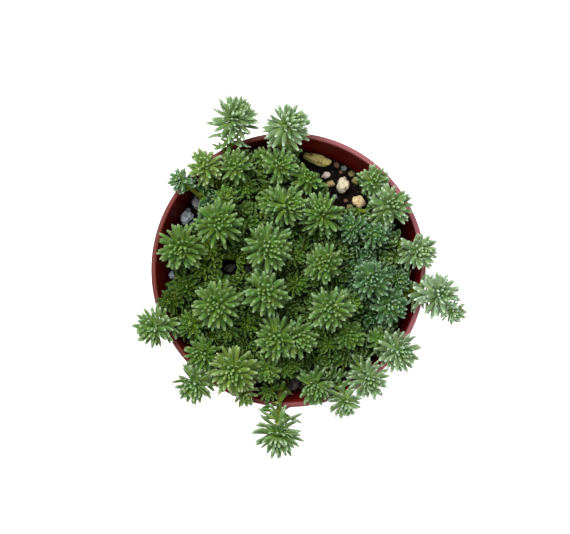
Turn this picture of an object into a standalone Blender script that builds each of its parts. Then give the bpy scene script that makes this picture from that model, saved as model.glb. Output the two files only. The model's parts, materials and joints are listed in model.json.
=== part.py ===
"""A miniature Joshua tree, a small branching stonecrop, in a round nursery pot.

Metres, +Z up. The origin is the middle of the pot's flat underside, and +Y is the top of the
photograph. Every length below is in millimetres and is turned to metres as the meshes are made.
"""

from math import atan2, cos, hypot, pi, radians, sin, sqrt
from random import Random
from typing import NamedTuple

import bmesh
import bpy
import numpy as np
from mathutils import Matrix

MM = 0.001
GAP = 0.3

# The pot: a thin tapered wall under a thicker collar
POT_HEIGHT = 78.0
RIM_RADIUS = 45.0
LIP_WIDTH = 1.6
INNER_TAPER = 0.13
WALL = 1.0
BASE_THICKNESS = 1.4
COLLAR_HEIGHT = 14.0
EDGE = 0.5
ROUND_STEPS = 36
SHARP_ANGLE = radians(35.0)
DRAIN_HOLES = 6
DRAIN_RADIUS = 3.2
DRAIN_CIRCLE = 22.0

# The soil and the holes that the stems stand in
SOIL_BELOW_RIM = 17.0
SOIL_TOP = POT_HEIGHT - SOIL_BELOW_RIM
HOLE_DEPTH = 11.0
HOLE_SIDES = 5

# How the photograph sees the plant: straight down on the rim from this height
CAMERA_ABOVE_RIM = 420.0
SEEN_CENTRE = (288.5, 269.5)
SEEN_RIM_RADIUS = 137.5

# The stems, which are stacks of five-sided bands, and their leaves
STEM_RADIUS = 1.05
BRANCH_RADIUS = 0.9
CORE_RADIUS = 0.85
BUD_RADIUS = 0.6
BUD_HEIGHT = 1.9
SIDES = 5
BAND_TWIST = radians(41.0)
HEAD_BAND = 1.75
HEAD_DEPTH_SHARE = 0.48
STEM_BAND = 10.0
WHORL_HEIGHT = 1.3
WHORL_SPACING = 4.4
WHORL_LEAVES = 2
LEAN_PER_WHORL = 20.0
WHORL_TILT = radians(72.0)
FORK_DROP = 0.95
LOWEST_FORK = 0.15
HIGHEST_FORK = 0.55
ROOT_PULL = 0.92
OTHER_ROOT_PULLS = {4: 0.7, 13: 0.92}
MOST_ROOT_RADIUS = 34.5
ROOT_TURNS = {1: radians(17.0)}
LEAF_WIDTH = 2.0
LEAF_THICKNESS = 0.95
LEAF_SHOULDER = 0.7
LEAF_SAG = 0.07
CLEARANCE = 0.35
TOP_LEAF_TILT = radians(38.0)
LOW_LEAF_TILT = radians(97.0)
TOP_LEAF_SHARE = 0.58
MOST_CROWDED = 0.8
STOOP_SHARE = 0.35
SEED = 4

# What a leaf tries in turn until it is clear: a bend in degrees and a share of its length
TRIES = ((0, 1), (-12, 1), (12, 1), (-24, 0.95), (16, 0.8), (-20, 0.75), (0, 0.6))

# The finishes: colour and roughness
POT_PLASTIC = ((0.30, 0.065, 0.045), 0.45)
POTTING_SOIL = ((0.025, 0.018, 0.013), 0.95)
GREEN = ((0.10, 0.20, 0.06), 0.5)
BLUE_GREEN = ((0.06, 0.15, 0.09), 0.5)
YELLOW_GREEN = ((0.16, 0.26, 0.05), 0.5)
STONE_ROUGHNESS = 0.8


class Head(NamedTuple):
    """A rosette: the pixel where its tip is seen, and how it stands in millimetres and degrees."""

    seen_x: float
    seen_y: float
    above_rim: float
    reach: float
    lean: float
    toward: float


class Stone(NamedTuple):
    """A stone on the soil: the pixel of its middle, and its length, width, height and turn."""

    seen_x: float
    seen_y: float
    length: float
    width: float
    height: float
    turn: float
    colour: tuple


# Each stem's first head ends it, and the others end its side branches
STEMS = [
    [Head(239, 110, 16, 8.2, 24, 40)],
    [Head(296, 119, 19, 7.9, 32, 25)],
    [Head(202, 163, 14, 5.9, 8, 130)],
    [Head(174, 178, 8, 4.0, 28, 165)],
    [Head(234, 163, 14, 5.6, 8, 110), Head(245, 188, 6, 3.8, 5, 90)],
    [Head(281, 162, 16, 5.9, 10, 50), Head(261, 154, 6, 3.8, 10, 95)],
    [Head(310, 175, 14, 6.0, 8, 60)],
    [Head(220, 222, 23, 7.9, 10, 30), Head(226, 195, 13, 4.6, 10, 95)],
    [Head(178, 251, 17, 8.0, 10, 255)],
    [Head(294, 204, 21, 6.8, 25, 10), Head(270, 202, 17, 5.6, 14, 180)],
    [Head(320, 207, 19, 7.3, 28, 105)],
    [Head(376, 235, 11, 4.8, 5, 300), Head(350, 227, 11, 5.0, 5, 170)],
    [Head(376, 178, 10, 5.5, 10, 45)],
    [Head(395, 203, 17, 7.3, 10, 40)],
    [Head(424, 251, 14, 6.5, 13, 10)],
    [Head(445, 295, 16, 7.7, 12, 20), Head(459, 315, 10, 4.6, 26, 330)],
    [Head(273, 249, 25, 8.1, 16, 350), Head(297, 257, 10, 4.0, 5, 0)],
    [Head(323, 264, 19, 6.5, 5, 180)],
    [Head(214, 307, 24, 8.1, 5, 200), Head(227, 334, 12, 4.2, 10, 240)],
    [Head(265, 294, 25, 7.6, 3, 150), Head(300, 284, 7, 4.6, 5, 0)],
    [Head(373, 281, 19, 6.5, 3, 180), Head(402, 282, 8, 4.8, 10, 0)],
    [Head(394, 307, 15, 6.2, 8, 0)],
    [Head(330, 311, 23, 7.3, 4, 200), Head(355, 304, 9, 4.0, 5, 0)],
    [Head(272, 341, 21, 7.5, 16, 190), Head(302, 342, 20, 6.9, 16, 340)],
    [Head(351, 337, 13, 5.0, 5, 0), Head(325, 347, 8, 4.1, 5, 240)],
    [Head(404, 355, 14, 7.2, 12, 340), Head(380, 340, 7, 4.6, 5, 0)],
    [Head(371, 386, 13, 6.5, 14, 275)],
    [Head(346, 412, 10, 5.6, 42, 275)],
    [Head(313, 391, 11, 6.4, 12, 240)],
    [Head(231, 377, 20, 8.3, 12, 250), Head(245, 399, 10, 4.9, 18, 275)],
    [Head(190, 390, 13, 6.7, 18, 240)],
    [Head(279, 447, 15, 8.0, 30, 278), Head(268, 397, 3, 3.8, 20, 270)],
    [Head(199, 357, 11, 6.4, 12, 205), Head(188, 324, 8, 5.0, 10, 215)],
    [Head(267, 374, 12, 4.5, 14, 270), Head(290, 368, 7, 4.4, 5, 270)],
    [Head(167, 302, 6, 4.6, 12, 190), Head(185, 286, 8, 4.5, 10, 150)],
    [Head(147, 330, 12, 6.9, 15, 200)],
    [Head(206, 250, 9, 4.1, 10, 260)],
    [Head(247, 327, 8, 3.8, 5, 270)],
]

# The stems, by number, that aren't mid green
BLUE_GREEN_STEMS = {4, 12, 21, 22}
YELLOW_GREEN_STEMS = {3, 30, 37}

STONES = {
    "stone_long_olive": Stone(318, 155, 10.2, 4.2, 3.4, 340, (0.44, 0.38, 0.13)),
    "stone_white_north": Stone(326, 174, 3.2, 2.6, 2.2, 20, (0.78, 0.68, 0.62)),
    "stone_cream": Stone(343, 184, 6.8, 4.8, 3.8, 70, (0.80, 0.70, 0.48)),
    "stone_tan_north": Stone(331, 183, 3.0, 2.6, 2.2, 10, (0.48, 0.40, 0.24)),
    "stone_orange": Stone(359, 201, 5.2, 4.2, 3.2, 320, (0.74, 0.55, 0.30)),
    "stone_olive_small": Stone(357, 180, 3.8, 3.0, 2.2, 345, (0.40, 0.36, 0.20)),
    "stone_slate_west": Stone(184, 215, 5.6, 4.6, 3.4, 50, (0.36, 0.42, 0.50)),
    "stone_slate_north_west": Stone(190, 196, 4.2, 3.6, 2.8, 110, (0.42, 0.47, 0.54)),
    "stone_white_middle": Stone(230, 267, 4.2, 3.2, 2.6, 15, (0.68, 0.68, 0.66)),
    "stone_slate_small": Stone(170, 275, 3.2, 2.8, 2.2, 80, (0.34, 0.38, 0.46)),
    "stone_grey_south": Stone(292, 384, 5.4, 4.6, 3.4, 30, (0.40, 0.41, 0.38)),
    "stone_rust": Stone(305, 306, 3.4, 3.0, 2.2, 60, (0.42, 0.25, 0.14)),
}


def clear_scene():
    """Empties the scene, its startup objects included."""
    for old in list(bpy.data.objects):
        bpy.data.objects.remove(old)


def material(name, colour, roughness):
    """A plain material with this colour and roughness."""
    made = bpy.data.materials.new(name)
    made.use_nodes = True
    shader = made.node_tree.nodes["Principled BSDF"]
    shader.inputs["Base Color"].default_value = (*colour, 1.0)
    shader.inputs["Roughness"].default_value = roughness
    shader.inputs["Metallic"].default_value = 0.0
    return made


def finish(name, bm, look):
    """Turns a bmesh in millimetres into a named object in metres."""
    bmesh.ops.remove_doubles(bm, verts=bm.verts, dist=1e-5)
    bmesh.ops.recalc_face_normals(bm, faces=bm.faces)
    bmesh.ops.scale(bm, vec=(MM, MM, MM), verts=bm.verts)
    mesh = bpy.data.meshes.new(name)
    bm.to_mesh(mesh)
    bm.free()
    mesh.materials.append(look)
    made = bpy.data.objects.new(name, mesh)
    bpy.context.scene.collection.objects.link(made)
    return made


def shade_smooth(made):
    """Shades a round piece smooth, its corners apart."""
    made.data.shade_smooth()
    made.data.set_sharp_from_angle(angle=SHARP_ANGLE)


def combine(target, tools, operation):
    """Joins the tool objects to the target, or cuts them from it, and removes them."""
    group = bpy.data.collections.new(f"{target.name}_tools")
    bpy.context.scene.collection.children.link(group)
    for tool in tools:
        bpy.context.scene.collection.objects.unlink(tool)
        group.objects.link(tool)
    step = target.modifiers.new(operation.lower(), "BOOLEAN")
    step.operation = operation
    step.operand_type = "COLLECTION"
    step.collection = group
    step.solver = "EXACT"
    bpy.context.view_layer.update()
    graph = bpy.context.evaluated_depsgraph_get()
    joined = bpy.data.meshes.new_from_object(target.evaluated_get(graph))
    target.modifiers.remove(step)
    target.data = joined
    for tool in tools:
        bpy.data.objects.remove(tool)
    bpy.data.collections.remove(group)


def lathe(name, profile, look):
    """Turns a closed profile of (radius, height) points about the Z axis."""
    bm = bmesh.new()
    verts = [bm.verts.new((radius, 0.0, height)) for radius, height in profile]
    edges = [bm.edges.new(pair) for pair in zip(verts, verts[1:])]
    bmesh.ops.spin(
        bm,
        geom=verts + edges,
        axis=(0.0, 0.0, 1.0),
        cent=(0.0, 0.0, 0.0),
        angle=2 * pi,
        steps=ROUND_STEPS,
        use_merge=True,
    )
    return finish(name, bm, look)


def prism(name, x, y, low, high, radius, sides, look):
    """An upright prism between two heights."""
    bm = bmesh.new()
    bmesh.ops.create_cone(
        bm, cap_ends=True, segments=sides, radius1=radius, radius2=radius, depth=high - low
    )
    bmesh.ops.translate(bm, vec=(x, y, (low + high) / 2), verts=bm.verts)
    return finish(name, bm, look)


def inner_radius(height):
    """The pot's inner wall at this height."""
    return RIM_RADIUS - LIP_WIDTH - (POT_HEIGHT - height) * INNER_TAPER


def outer_radius(height):
    """The pot's outside at this height, collar included."""
    if height > POT_HEIGHT - COLLAR_HEIGHT:
        return RIM_RADIUS
    return inner_radius(height) + WALL


def build_pot():
    """The pot, with drain holes round its base."""
    look = material("terracotta_plastic", *POT_PLASTIC)
    collar_low = POT_HEIGHT - COLLAR_HEIGHT
    base = inner_radius(0.0) + WALL
    profile = [
        (0.0, 0.0),
        (base - 2 * EDGE, 0.0),
        (base, 2 * EDGE),
        (inner_radius(collar_low) + WALL, collar_low),
        (RIM_RADIUS - EDGE, collar_low + EDGE),
        (RIM_RADIUS, POT_HEIGHT - EDGE),
        (RIM_RADIUS - EDGE / 2, POT_HEIGHT),
        (RIM_RADIUS - LIP_WIDTH + EDGE / 2, POT_HEIGHT),
        (inner_radius(POT_HEIGHT - EDGE), POT_HEIGHT - EDGE),
        (inner_radius(BASE_THICKNESS), BASE_THICKNESS),
        (0.0, BASE_THICKNESS),
    ]
    pot = lathe("pot", profile, look)
    drains = []
    for index in range(DRAIN_HOLES):
        angle = 2 * pi * (index + 0.5) / DRAIN_HOLES
        x, y = DRAIN_CIRCLE * cos(angle), DRAIN_CIRCLE * sin(angle)
        drains.append(prism(f"drain_{index}", x, y, -2.0, BASE_THICKNESS + 2.0, DRAIN_RADIUS, 10, look))
    combine(pot, drains, "DIFFERENCE")
    shade_smooth(pot)


def build_soil(roots):
    """The soil, filling the pot, with one plain hole for each stem."""
    look = material("potting_soil", *POTTING_SOIL)
    bottom = BASE_THICKNESS + GAP
    shrink = GAP + 0.1
    profile = [
        (0.0, bottom),
        (inner_radius(bottom) - shrink, bottom),
        (inner_radius(SOIL_TOP) - shrink, SOIL_TOP),
        (0.0, SOIL_TOP),
    ]
    soil = lathe("soil", profile, look)
    hole_radius = (STEM_RADIUS + GAP + 0.1) / cos(pi / HOLE_SIDES)
    holes = [
        prism(f"hole_{index}", x, y, SOIL_TOP - HOLE_DEPTH, SOIL_TOP + 1.0, hole_radius, HOLE_SIDES, look)
        for index, (x, y) in enumerate(roots)
    ]
    combine(soil, holes, "DIFFERENCE")
    shade_smooth(soil)


def place_seen(seen_x, seen_y, above_rim):
    """The millimetre place of a point seen at a pixel, at a height above the rim."""
    scale = RIM_RADIUS / SEEN_RIM_RADIUS * (CAMERA_ABOVE_RIM - above_rim) / CAMERA_ABOVE_RIM
    return (seen_x - SEEN_CENTRE[0]) * scale, (SEEN_CENTRE[1] - seen_y) * scale


def build_stone(name, stone, rng):
    """A rough stone with a flat foot, standing on the soil."""
    x, y = place_seen(stone.seen_x, stone.seen_y, stone.height / 2 - SOIL_BELOW_RIM)
    bm = bmesh.new()
    bmesh.ops.create_icosphere(bm, subdivisions=2, radius=0.5)
    for vert in bm.verts:
        vert.co *= 1.0 + rng.uniform(-0.12, 0.08)
        vert.co.x *= stone.length
        vert.co.y *= stone.width
        vert.co.z *= stone.height * 1.4
    low = min(vert.co.z for vert in bm.verts)
    foot = low + 0.3 * stone.height
    for vert in bm.verts:
        vert.co.z = max(vert.co.z, foot)
    bmesh.ops.rotate(bm, verts=bm.verts, matrix=Matrix.Rotation(radians(stone.turn), 3, "Z"))
    bmesh.ops.translate(bm, verts=bm.verts, vec=(x, y, SOIL_TOP + GAP - foot))
    over = max(hypot(vert.co.x, vert.co.y) - inner_radius(vert.co.z) for vert in bm.verts) + 2 * GAP
    if over > 0.0:
        share = over / hypot(x, y)
        bmesh.ops.translate(bm, verts=bm.verts, vec=(-x * share, -y * share, 0.0))
        x, y = x * (1 - share), y * (1 - share)
    shade_smooth(finish(name, bm, material(name, stone.colour, STONE_ROUGHNESS)))
    return np.array((x, y, SOIL_TOP + stone.height / 2)), stone.length / 2


def unit(vector):
    """The vector at length 1."""
    return vector / sqrt(float(vector @ vector))


def axis_of(head):
    """The direction that a head's tip points in."""
    lean, toward = radians(head.lean), radians(head.toward)
    return np.array((sin(lean) * cos(toward), sin(lean) * sin(toward), cos(lean)))


def tip_of(head):
    """The top of a head's stem, a little below the leaf tips that the photograph shows."""
    x, y = place_seen(head.seen_x, head.seen_y, head.above_rim)
    seen = np.array((x, y, POT_HEIGHT + head.above_rim))
    return seen - STOOP_SHARE * head.reach * axis_of(head)


def curve(start, rise, tip, axis, back, count):
    """Points on a smooth curve that leaves start along rise and reaches tip along axis."""
    controls = (start, start + rise, tip - axis * back, tip)
    made = []
    for index in range(count + 1):
        t = index / count
        weights = ((1 - t) ** 3, 3 * t * (1 - t) ** 2, 3 * t * t * (1 - t), t**3)
        made.append(sum(w * p for w, p in zip(weights, controls)))
    return made


class Leaf:
    """A three-sided leaf: flat on top, keeled below and widest past its middle."""

    BALLS = ((0.30, 0.75), (0.45, 0.85), (0.59, 0.93), (0.72, 0.93), (0.85, 0.5), (0.97, 0.2))
    FIRST_OWN_BALL = 2

    def __init__(self, root, direction, upper, length, width):
        self.root = root
        self.direction = direction
        self.upper = upper
        self.length = length
        self.width = width

    def middle(self, along):
        """The point at a share of the leaf's length, on its slightly hollow middle line."""
        sag = LEAF_SAG * self.length * sin(pi * along)
        return self.root + self.direction * self.length * along - self.upper * sag

    def balls(self):
        """Balls that fill the leaf: their centres and radii, and the radii for its own shoot."""
        centres = np.array([self.middle(along) for along, _ in self.BALLS])
        radii = np.array([self.width / 2 * swell for _, swell in self.BALLS])
        own = np.minimum(radii, 0.55 * LEAF_THICKNESS)
        own[: self.FIRST_OWN_BALL] = 0.0
        return centres, radii, own

    def shoulder(self):
        """The three corners of the leaf at its widest."""
        middle = self.middle(LEAF_SHOULDER)
        half = np.cross(self.direction, self.upper) * self.width / 2
        top = self.upper * LEAF_THICKNESS * 0.35
        keel = self.upper * LEAF_THICKNESS * 0.65
        return middle + half + top, middle - half + top, middle - keel

    def tip(self):
        """The leaf's end."""
        return self.root + self.direction * self.length


class Band:
    """One band of a shoot between two rings: some of its downward faces each grow a leaf."""

    def __init__(self, depth, height, leaves=0, tilt=0.0, length=0.0, width=0.0):
        self.depth = depth
        self.height = height
        self.leaves = leaves
        self.tilt = tilt
        self.length = length
        self.width = width
        self.grown = {}


class Shoot:
    """One stem or branch: its centre line and its bands from the bud down."""

    FINE = 32

    def __init__(self, head, start, rise, radius, below, phase):
        tip = tip_of(head)
        back = 0.3 * sqrt(float((tip - start) @ (tip - start)))
        self.head = head
        self.radius = radius
        self.below = below
        self.phase = phase
        self.line = np.array(curve(start, rise, tip, axis_of(head), back, self.FINE))
        steps = np.linalg.norm(np.diff(self.line, axis=0), axis=1)
        self.length = float(steps.sum())
        self.along = np.concatenate(([0.0], np.cumsum(steps)))
        self.bands = self.split()

    def split(self):
        """The bands of the head, then leafy and bare ones down the stem."""
        reach = self.head.reach
        count = max(2, round(reach / HEAD_BAND))
        height = HEAD_DEPTH_SHARE * reach / count
        width = LEAF_WIDTH * (0.6 + 0.4 * min(1.0, reach / 7.0))
        bands = []
        for index in range(count):
            share = index / (count - 1)
            tilt = TOP_LEAF_TILT + (LOW_LEAF_TILT - TOP_LEAF_TILT) * share**0.8
            length = reach * (TOP_LEAF_SHARE + (1 - TOP_LEAF_SHARE) * share**0.6)
            room = 2 * sin(pi / SIDES) * LEAF_SHOULDER * length * sin(tilt)
            depth = BUD_HEIGHT + index * height
            bands.append(Band(depth, height, SIDES, tilt, length, min(width, MOST_CROWDED * room)))
        depth = bands[-1].depth + height
        for _ in range(2 + int(self.head.lean / LEAN_PER_WHORL)):
            if depth + WHORL_SPACING + WHORL_HEIGHT > 0.62 * self.length:
                break
            bands.append(Band(depth, WHORL_SPACING - WHORL_HEIGHT))
            depth += WHORL_SPACING - WHORL_HEIGHT
            bands.append(Band(depth, WHORL_HEIGHT, WHORL_LEAVES, WHORL_TILT, 0.66 * reach, width))
            depth += WHORL_HEIGHT
        bare = self.length - depth
        count = max(1, round(bare / STEM_BAND))
        bands += [Band(depth + index * bare / count, bare / count) for index in range(count)]
        return bands

    def at(self, depth):
        """The centre and direction of the stem this far below its tip."""
        along = min(max(0.0, self.length - depth), self.length)
        index = min(int(np.searchsorted(self.along, along, side="right")) - 1, self.FINE - 1)
        span = self.along[index + 1] - self.along[index]
        step = self.line[index + 1] - self.line[index]
        return self.line[index] + step * (along - self.along[index]) / span, unit(step)

    def radius_at(self, depth):
        """The stem's radius this far below its tip: slim in the bud, full at the bottom."""
        head_depth = BUD_HEIGHT + HEAD_DEPTH_SHARE * self.head.reach
        if depth < head_depth:
            share = (depth - BUD_HEIGHT) / (head_depth - BUD_HEIGHT)
            return BUD_RADIUS + (CORE_RADIUS - BUD_RADIUS) * max(0.0, share)
        share = (depth - head_depth) / (self.length - head_depth)
        return CORE_RADIUS + (self.radius - CORE_RADIUS) * share

    def balls(self):
        """Balls that fill the stem, which its own leaves needn't keep clear of."""
        radii = np.array([self.radius_at(self.length - along) for along in self.along])
        return self.line, radii, np.zeros(len(radii))

    def spoke(self, axis, azimuth):
        """The direction away from the stem at this azimuth."""
        side = unit(np.cross(axis, np.array((0.31, 0.95, 0.05))))
        return side * cos(azimuth) + np.cross(axis, side) * sin(azimuth)

    def grow_leaves(self, shoot_id, space):
        """Grows each band's leaves, each bent or shortened until it is clear, or left out."""
        for index, band in enumerate(self.bands):
            for step in range(band.leaves):
                side = (step * 3 + index) % SIDES if band.leaves < SIDES else step
                leaf = self.clear_leaf(index, band, side, shoot_id, space)
                if leaf:
                    band.grown[side] = leaf

    def clear_leaf(self, index, band, side, shoot_id, space):
        """The leaf of one face, or None where nothing is clear."""
        azimuth = self.phase + index * BAND_TWIST + 2 * pi * (side + 0.5) / SIDES
        centre, axis = self.at(band.depth + band.height / 2)
        around = self.spoke(axis, azimuth)
        for bend, cut in TRIES:
            tilt = max(TOP_LEAF_TILT, band.tilt + radians(bend))
            direction = axis * cos(tilt) + around * sin(tilt)
            upper = axis * sin(tilt) - around * cos(tilt)
            leaf = Leaf(centre, direction, upper, band.length * cut, band.width)
            balls = leaf.balls()
            if space.is_free(*balls, shoot_id, index):
                space.add(*balls, shoot_id, index)
                return leaf
        return None

    def rings(self):
        """The corners of the rings between the bands, from the bud down."""
        depths = [band.depth for band in self.bands] + [self.length]
        made = []
        for index, depth in enumerate(depths):
            centre, axis = self.at(depth)
            radius = self.radius_at(depth)
            first = self.phase + index * BAND_TWIST
            made.append([
                centre + radius * self.spoke(axis, first + 2 * pi * side / SIDES)
                for side in range(SIDES)
            ])
        if self.below:
            made.append([corner - np.array((0.0, 0.0, self.below)) for corner in made[-1]])
        return made

    def solid(self, name, look):
        """The shoot as one closed mesh: each leaf is drawn out of its face of the stem."""
        bm = bmesh.new()
        rings = [[bm.verts.new(corner) for corner in ring] for ring in self.rings()]
        bud = bm.verts.new(self.line[-1])
        for side in range(SIDES):
            bm.faces.new((rings[0][side], rings[0][(side + 1) % SIDES], bud))
        bm.faces.new(rings[-1])
        for index, band in enumerate(self.bands):
            upper, lower = rings[index], rings[index + 1]
            for side in range(SIDES):
                after = (side + 1) % SIDES
                bm.faces.new((upper[after], lower[side], lower[after]))
                base = (upper[side], upper[after], lower[side])
                if side in band.grown:
                    draw_leaf(bm, base, band.grown[side])
                else:
                    bm.faces.new(base)
        if self.below:
            for side in range(SIDES):
                after = (side + 1) % SIDES
                bm.faces.new((rings[-2][side], rings[-2][after], rings[-1][after], rings[-1][side]))
        return finish(name, bm, look)


def draw_leaf(bm, base, leaf):
    """The faces of a leaf that grows from the three corners of its base."""
    shoulder = [bm.verts.new(corner) for corner in leaf.shoulder()]
    tip = bm.verts.new(leaf.tip())
    for index in range(3):
        after = (index + 1) % 3
        bm.faces.new((base[index], base[after], shoulder[after]))
        bm.faces.new((base[index], shoulder[after], shoulder[index]))
        bm.faces.new((shoulder[index], shoulder[after], tip))


def root_of(number, tip):
    """Where a stem leaves the soil: nearer the pot's axis than its tip, and turned about it on one."""
    out = hypot(tip[0], tip[1])
    pull = OTHER_ROOT_PULLS.get(number, min(ROOT_PULL, MOST_ROOT_RADIUS / max(1.0, out)))
    angle = atan2(tip[1], tip[0]) + ROOT_TURNS.get(number, 0.0)
    return np.array((out * pull * cos(angle), out * pull * sin(angle), SOIL_TOP))


def grow(number, heads, rng):
    """The shoots of one stem: the first goes into the soil, the others branch from it."""
    tip = tip_of(heads[0])
    root = root_of(number, tip)
    rise = np.array((0.0, 0.0, 0.55 * (tip[2] - SOIL_TOP)))
    main = Shoot(heads[0], root, rise, STEM_RADIUS, HOLE_DEPTH - GAP, rng.uniform(0, 2 * pi))
    shoots = [main]
    for head in heads[1:]:
        start, along = main.at(main.length * (1.0 - fork_share(tip, tip_of(head))))
        reach = tip_of(head) - start
        rise = along * 0.3 * sqrt(float(reach @ reach))
        shoots.append(Shoot(head, start, rise, BRANCH_RADIUS, 0.0, rng.uniform(0, 2 * pi)))
    return shoots


def fork_share(tip, branch_tip):
    """How far up the main stem a branch leaves it, so that it always climbs to its head."""
    apart = hypot(*(branch_tip - tip)[:2])
    share = (branch_tip[2] - FORK_DROP * apart - SOIL_TOP) / (tip[2] - SOIL_TOP)
    return min(max(share, LOWEST_FORK), HIGHEST_FORK)


class Clearance:
    """Balls that stand for every solid placed so far, each with the shoot that it belongs to."""

    def __init__(self):
        self.centres = np.zeros((0, 3))
        self.radii = np.zeros(0)
        self.own = np.zeros(0)
        self.owners = np.zeros((0, 2), int)

    def add(self, centres, radii, own, shoot_id, band):
        """Adds balls that belong to one band of one shoot."""
        self.centres = np.concatenate((self.centres, centres))
        self.radii = np.concatenate((self.radii, radii))
        self.own = np.concatenate((self.own, own))
        self.owners = np.concatenate((self.owners, np.tile((shoot_id, band), (len(radii), 1))))

    def is_free(self, centres, radii, own, shoot_id, band):
        """Whether these balls are clear of the pot, the soil, other shoots and other bands."""
        spread = np.hypot(centres[:, 0], centres[:, 1])
        for height, radius, room in zip(centres[:, 2], spread, radii + CLEARANCE):
            if height < SOIL_TOP + room and radius < RIM_RADIUS:
                return False
            if height < POT_HEIGHT + room:
                if inner_radius(height) - room < radius < outer_radius(height) + room:
                    return False
        apart = np.linalg.norm(centres[:, None, :] - self.centres[None, :, :], axis=2)
        others = self.owners[:, 0] != shoot_id
        if (apart < radii[:, None] + self.radii[None, :] + CLEARANCE)[:, others].any():
            return False
        same = ~others & (self.owners[:, 1] != band) & (self.own > 0)
        return not (apart < own[:, None] + self.own[None, :])[own > 0][:, same].any()


def main():
    """Builds the pot, the soil, the stones and the leafy stems."""
    clear_scene()
    rng = Random(SEED)
    space = Clearance()
    build_pot()
    for index, (name, stone) in enumerate(STONES.items()):
        centre, radius = build_stone(name, stone, rng)
        space.add(centre[None, :], np.array((radius,)), np.zeros(1), -1 - index, 0)
    plants = [grow(number, heads, rng) for number, heads in enumerate(STEMS, 1)]
    build_soil([shoots[0].line[0][:2] for shoots in plants])
    shoots = [shoot for plant in plants for shoot in plant]
    for index, shoot in enumerate(shoots):
        space.add(*shoot.balls(), index, -1)
    for index, shoot in sorted(enumerate(shoots), key=lambda pair: -pair[1].head.above_rim):
        shoot.grow_leaves(index, space)
    looks = dict.fromkeys(range(1, len(STEMS) + 1), material("green_leaf", *GREEN))
    looks |= dict.fromkeys(BLUE_GREEN_STEMS, material("blue_green_leaf", *BLUE_GREEN))
    looks |= dict.fromkeys(YELLOW_GREEN_STEMS, material("yellow_green_leaf", *YELLOW_GREEN))
    for number, plant in enumerate(plants, 1):
        name = f"leafy_stem_{number:02d}"
        look = looks[number]
        parts = [shoot.solid(f"{name}_{n}" if n else name, look) for n, shoot in enumerate(plant)]
        if len(parts) > 1:
            combine(parts[0], parts[1:], "UNION")


main()
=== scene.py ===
"""Dresses the potted joshua tree: a small branching stonecrop in a round plastic nursery pot.

The plant is worked out in millimetres, with the same table of heads and the same stem curves as
the CAD part, and turned to metres as each mesh is made. Every piece lies where its CAD node does.
"""

import json
import logging
from dataclasses import dataclass, field
from enum import Enum
from functools import partial
from itertools import product
from math import atan2, cos, hypot, pi, radians, sin, sqrt
from random import Random
from typing import NamedTuple, Sequence

import bmesh
import bpy
import numpy as np
from bmesh.types import BMesh
from bpy.types import Collection, Material, Mesh, Node, NodeSocket, NodeTree, Object
from mathutils import Matrix, Vector, noise

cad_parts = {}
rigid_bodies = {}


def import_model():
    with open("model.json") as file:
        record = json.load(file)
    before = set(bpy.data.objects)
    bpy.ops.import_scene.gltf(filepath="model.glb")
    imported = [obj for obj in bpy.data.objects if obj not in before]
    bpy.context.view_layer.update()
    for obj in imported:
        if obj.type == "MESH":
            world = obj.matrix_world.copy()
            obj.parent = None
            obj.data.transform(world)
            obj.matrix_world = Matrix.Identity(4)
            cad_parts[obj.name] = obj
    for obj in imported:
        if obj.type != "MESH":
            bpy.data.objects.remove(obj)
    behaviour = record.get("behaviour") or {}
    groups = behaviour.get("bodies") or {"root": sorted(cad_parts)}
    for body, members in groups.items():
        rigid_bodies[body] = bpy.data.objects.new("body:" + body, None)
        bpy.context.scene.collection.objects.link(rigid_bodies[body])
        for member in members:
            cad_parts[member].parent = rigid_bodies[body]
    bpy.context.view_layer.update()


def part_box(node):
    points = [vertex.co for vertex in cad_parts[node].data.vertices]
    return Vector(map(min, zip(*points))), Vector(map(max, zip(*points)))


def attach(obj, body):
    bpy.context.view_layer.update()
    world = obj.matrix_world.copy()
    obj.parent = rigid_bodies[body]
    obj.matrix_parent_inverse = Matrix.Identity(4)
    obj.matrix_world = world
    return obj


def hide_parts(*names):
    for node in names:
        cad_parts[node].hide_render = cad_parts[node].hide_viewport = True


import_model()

LOG = logging.getLogger("joshua_tree")
MM = 0.001
BODY = "root"
GOLDEN_ANGLE = radians(137.508)

# How the photograph sees the plant: straight down on the rim from this height
CAMERA_ABOVE_RIM = 420.0
SEEN_CENTRE = (288.5, 269.5)
SEEN_RIM_RADIUS = 137.5

# A Ball is a centre and a radius, and Stops are a colour ramp's places and hex colours
Pair = tuple[float, float]
Triple = tuple[float, float, float]
Ball = tuple[float, float, float, float]
Stops = tuple[tuple[float, str], ...]


class Head(NamedTuple):
    """A rosette: the pixel where its tip is seen, and how it stands in millimetres and degrees."""

    seen_x: float
    seen_y: float
    above_rim: float
    reach: float
    lean: float
    toward: float

    def axis(self) -> np.ndarray:
        """The direction that its tip points in."""
        lean, toward = radians(self.lean), radians(self.toward)
        return np.array((sin(lean) * cos(toward), sin(lean) * sin(toward), cos(lean)))

    def tip(self) -> np.ndarray:
        """The top of its stem, a little below the leaf tips that the photograph shows."""
        x, y = place_seen(self.seen_x, self.seen_y, self.above_rim)
        seen = np.array((x, y, Pot.height + self.above_rim))
        return seen - Shoot.stoop_share * self.reach * self.axis()


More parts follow.
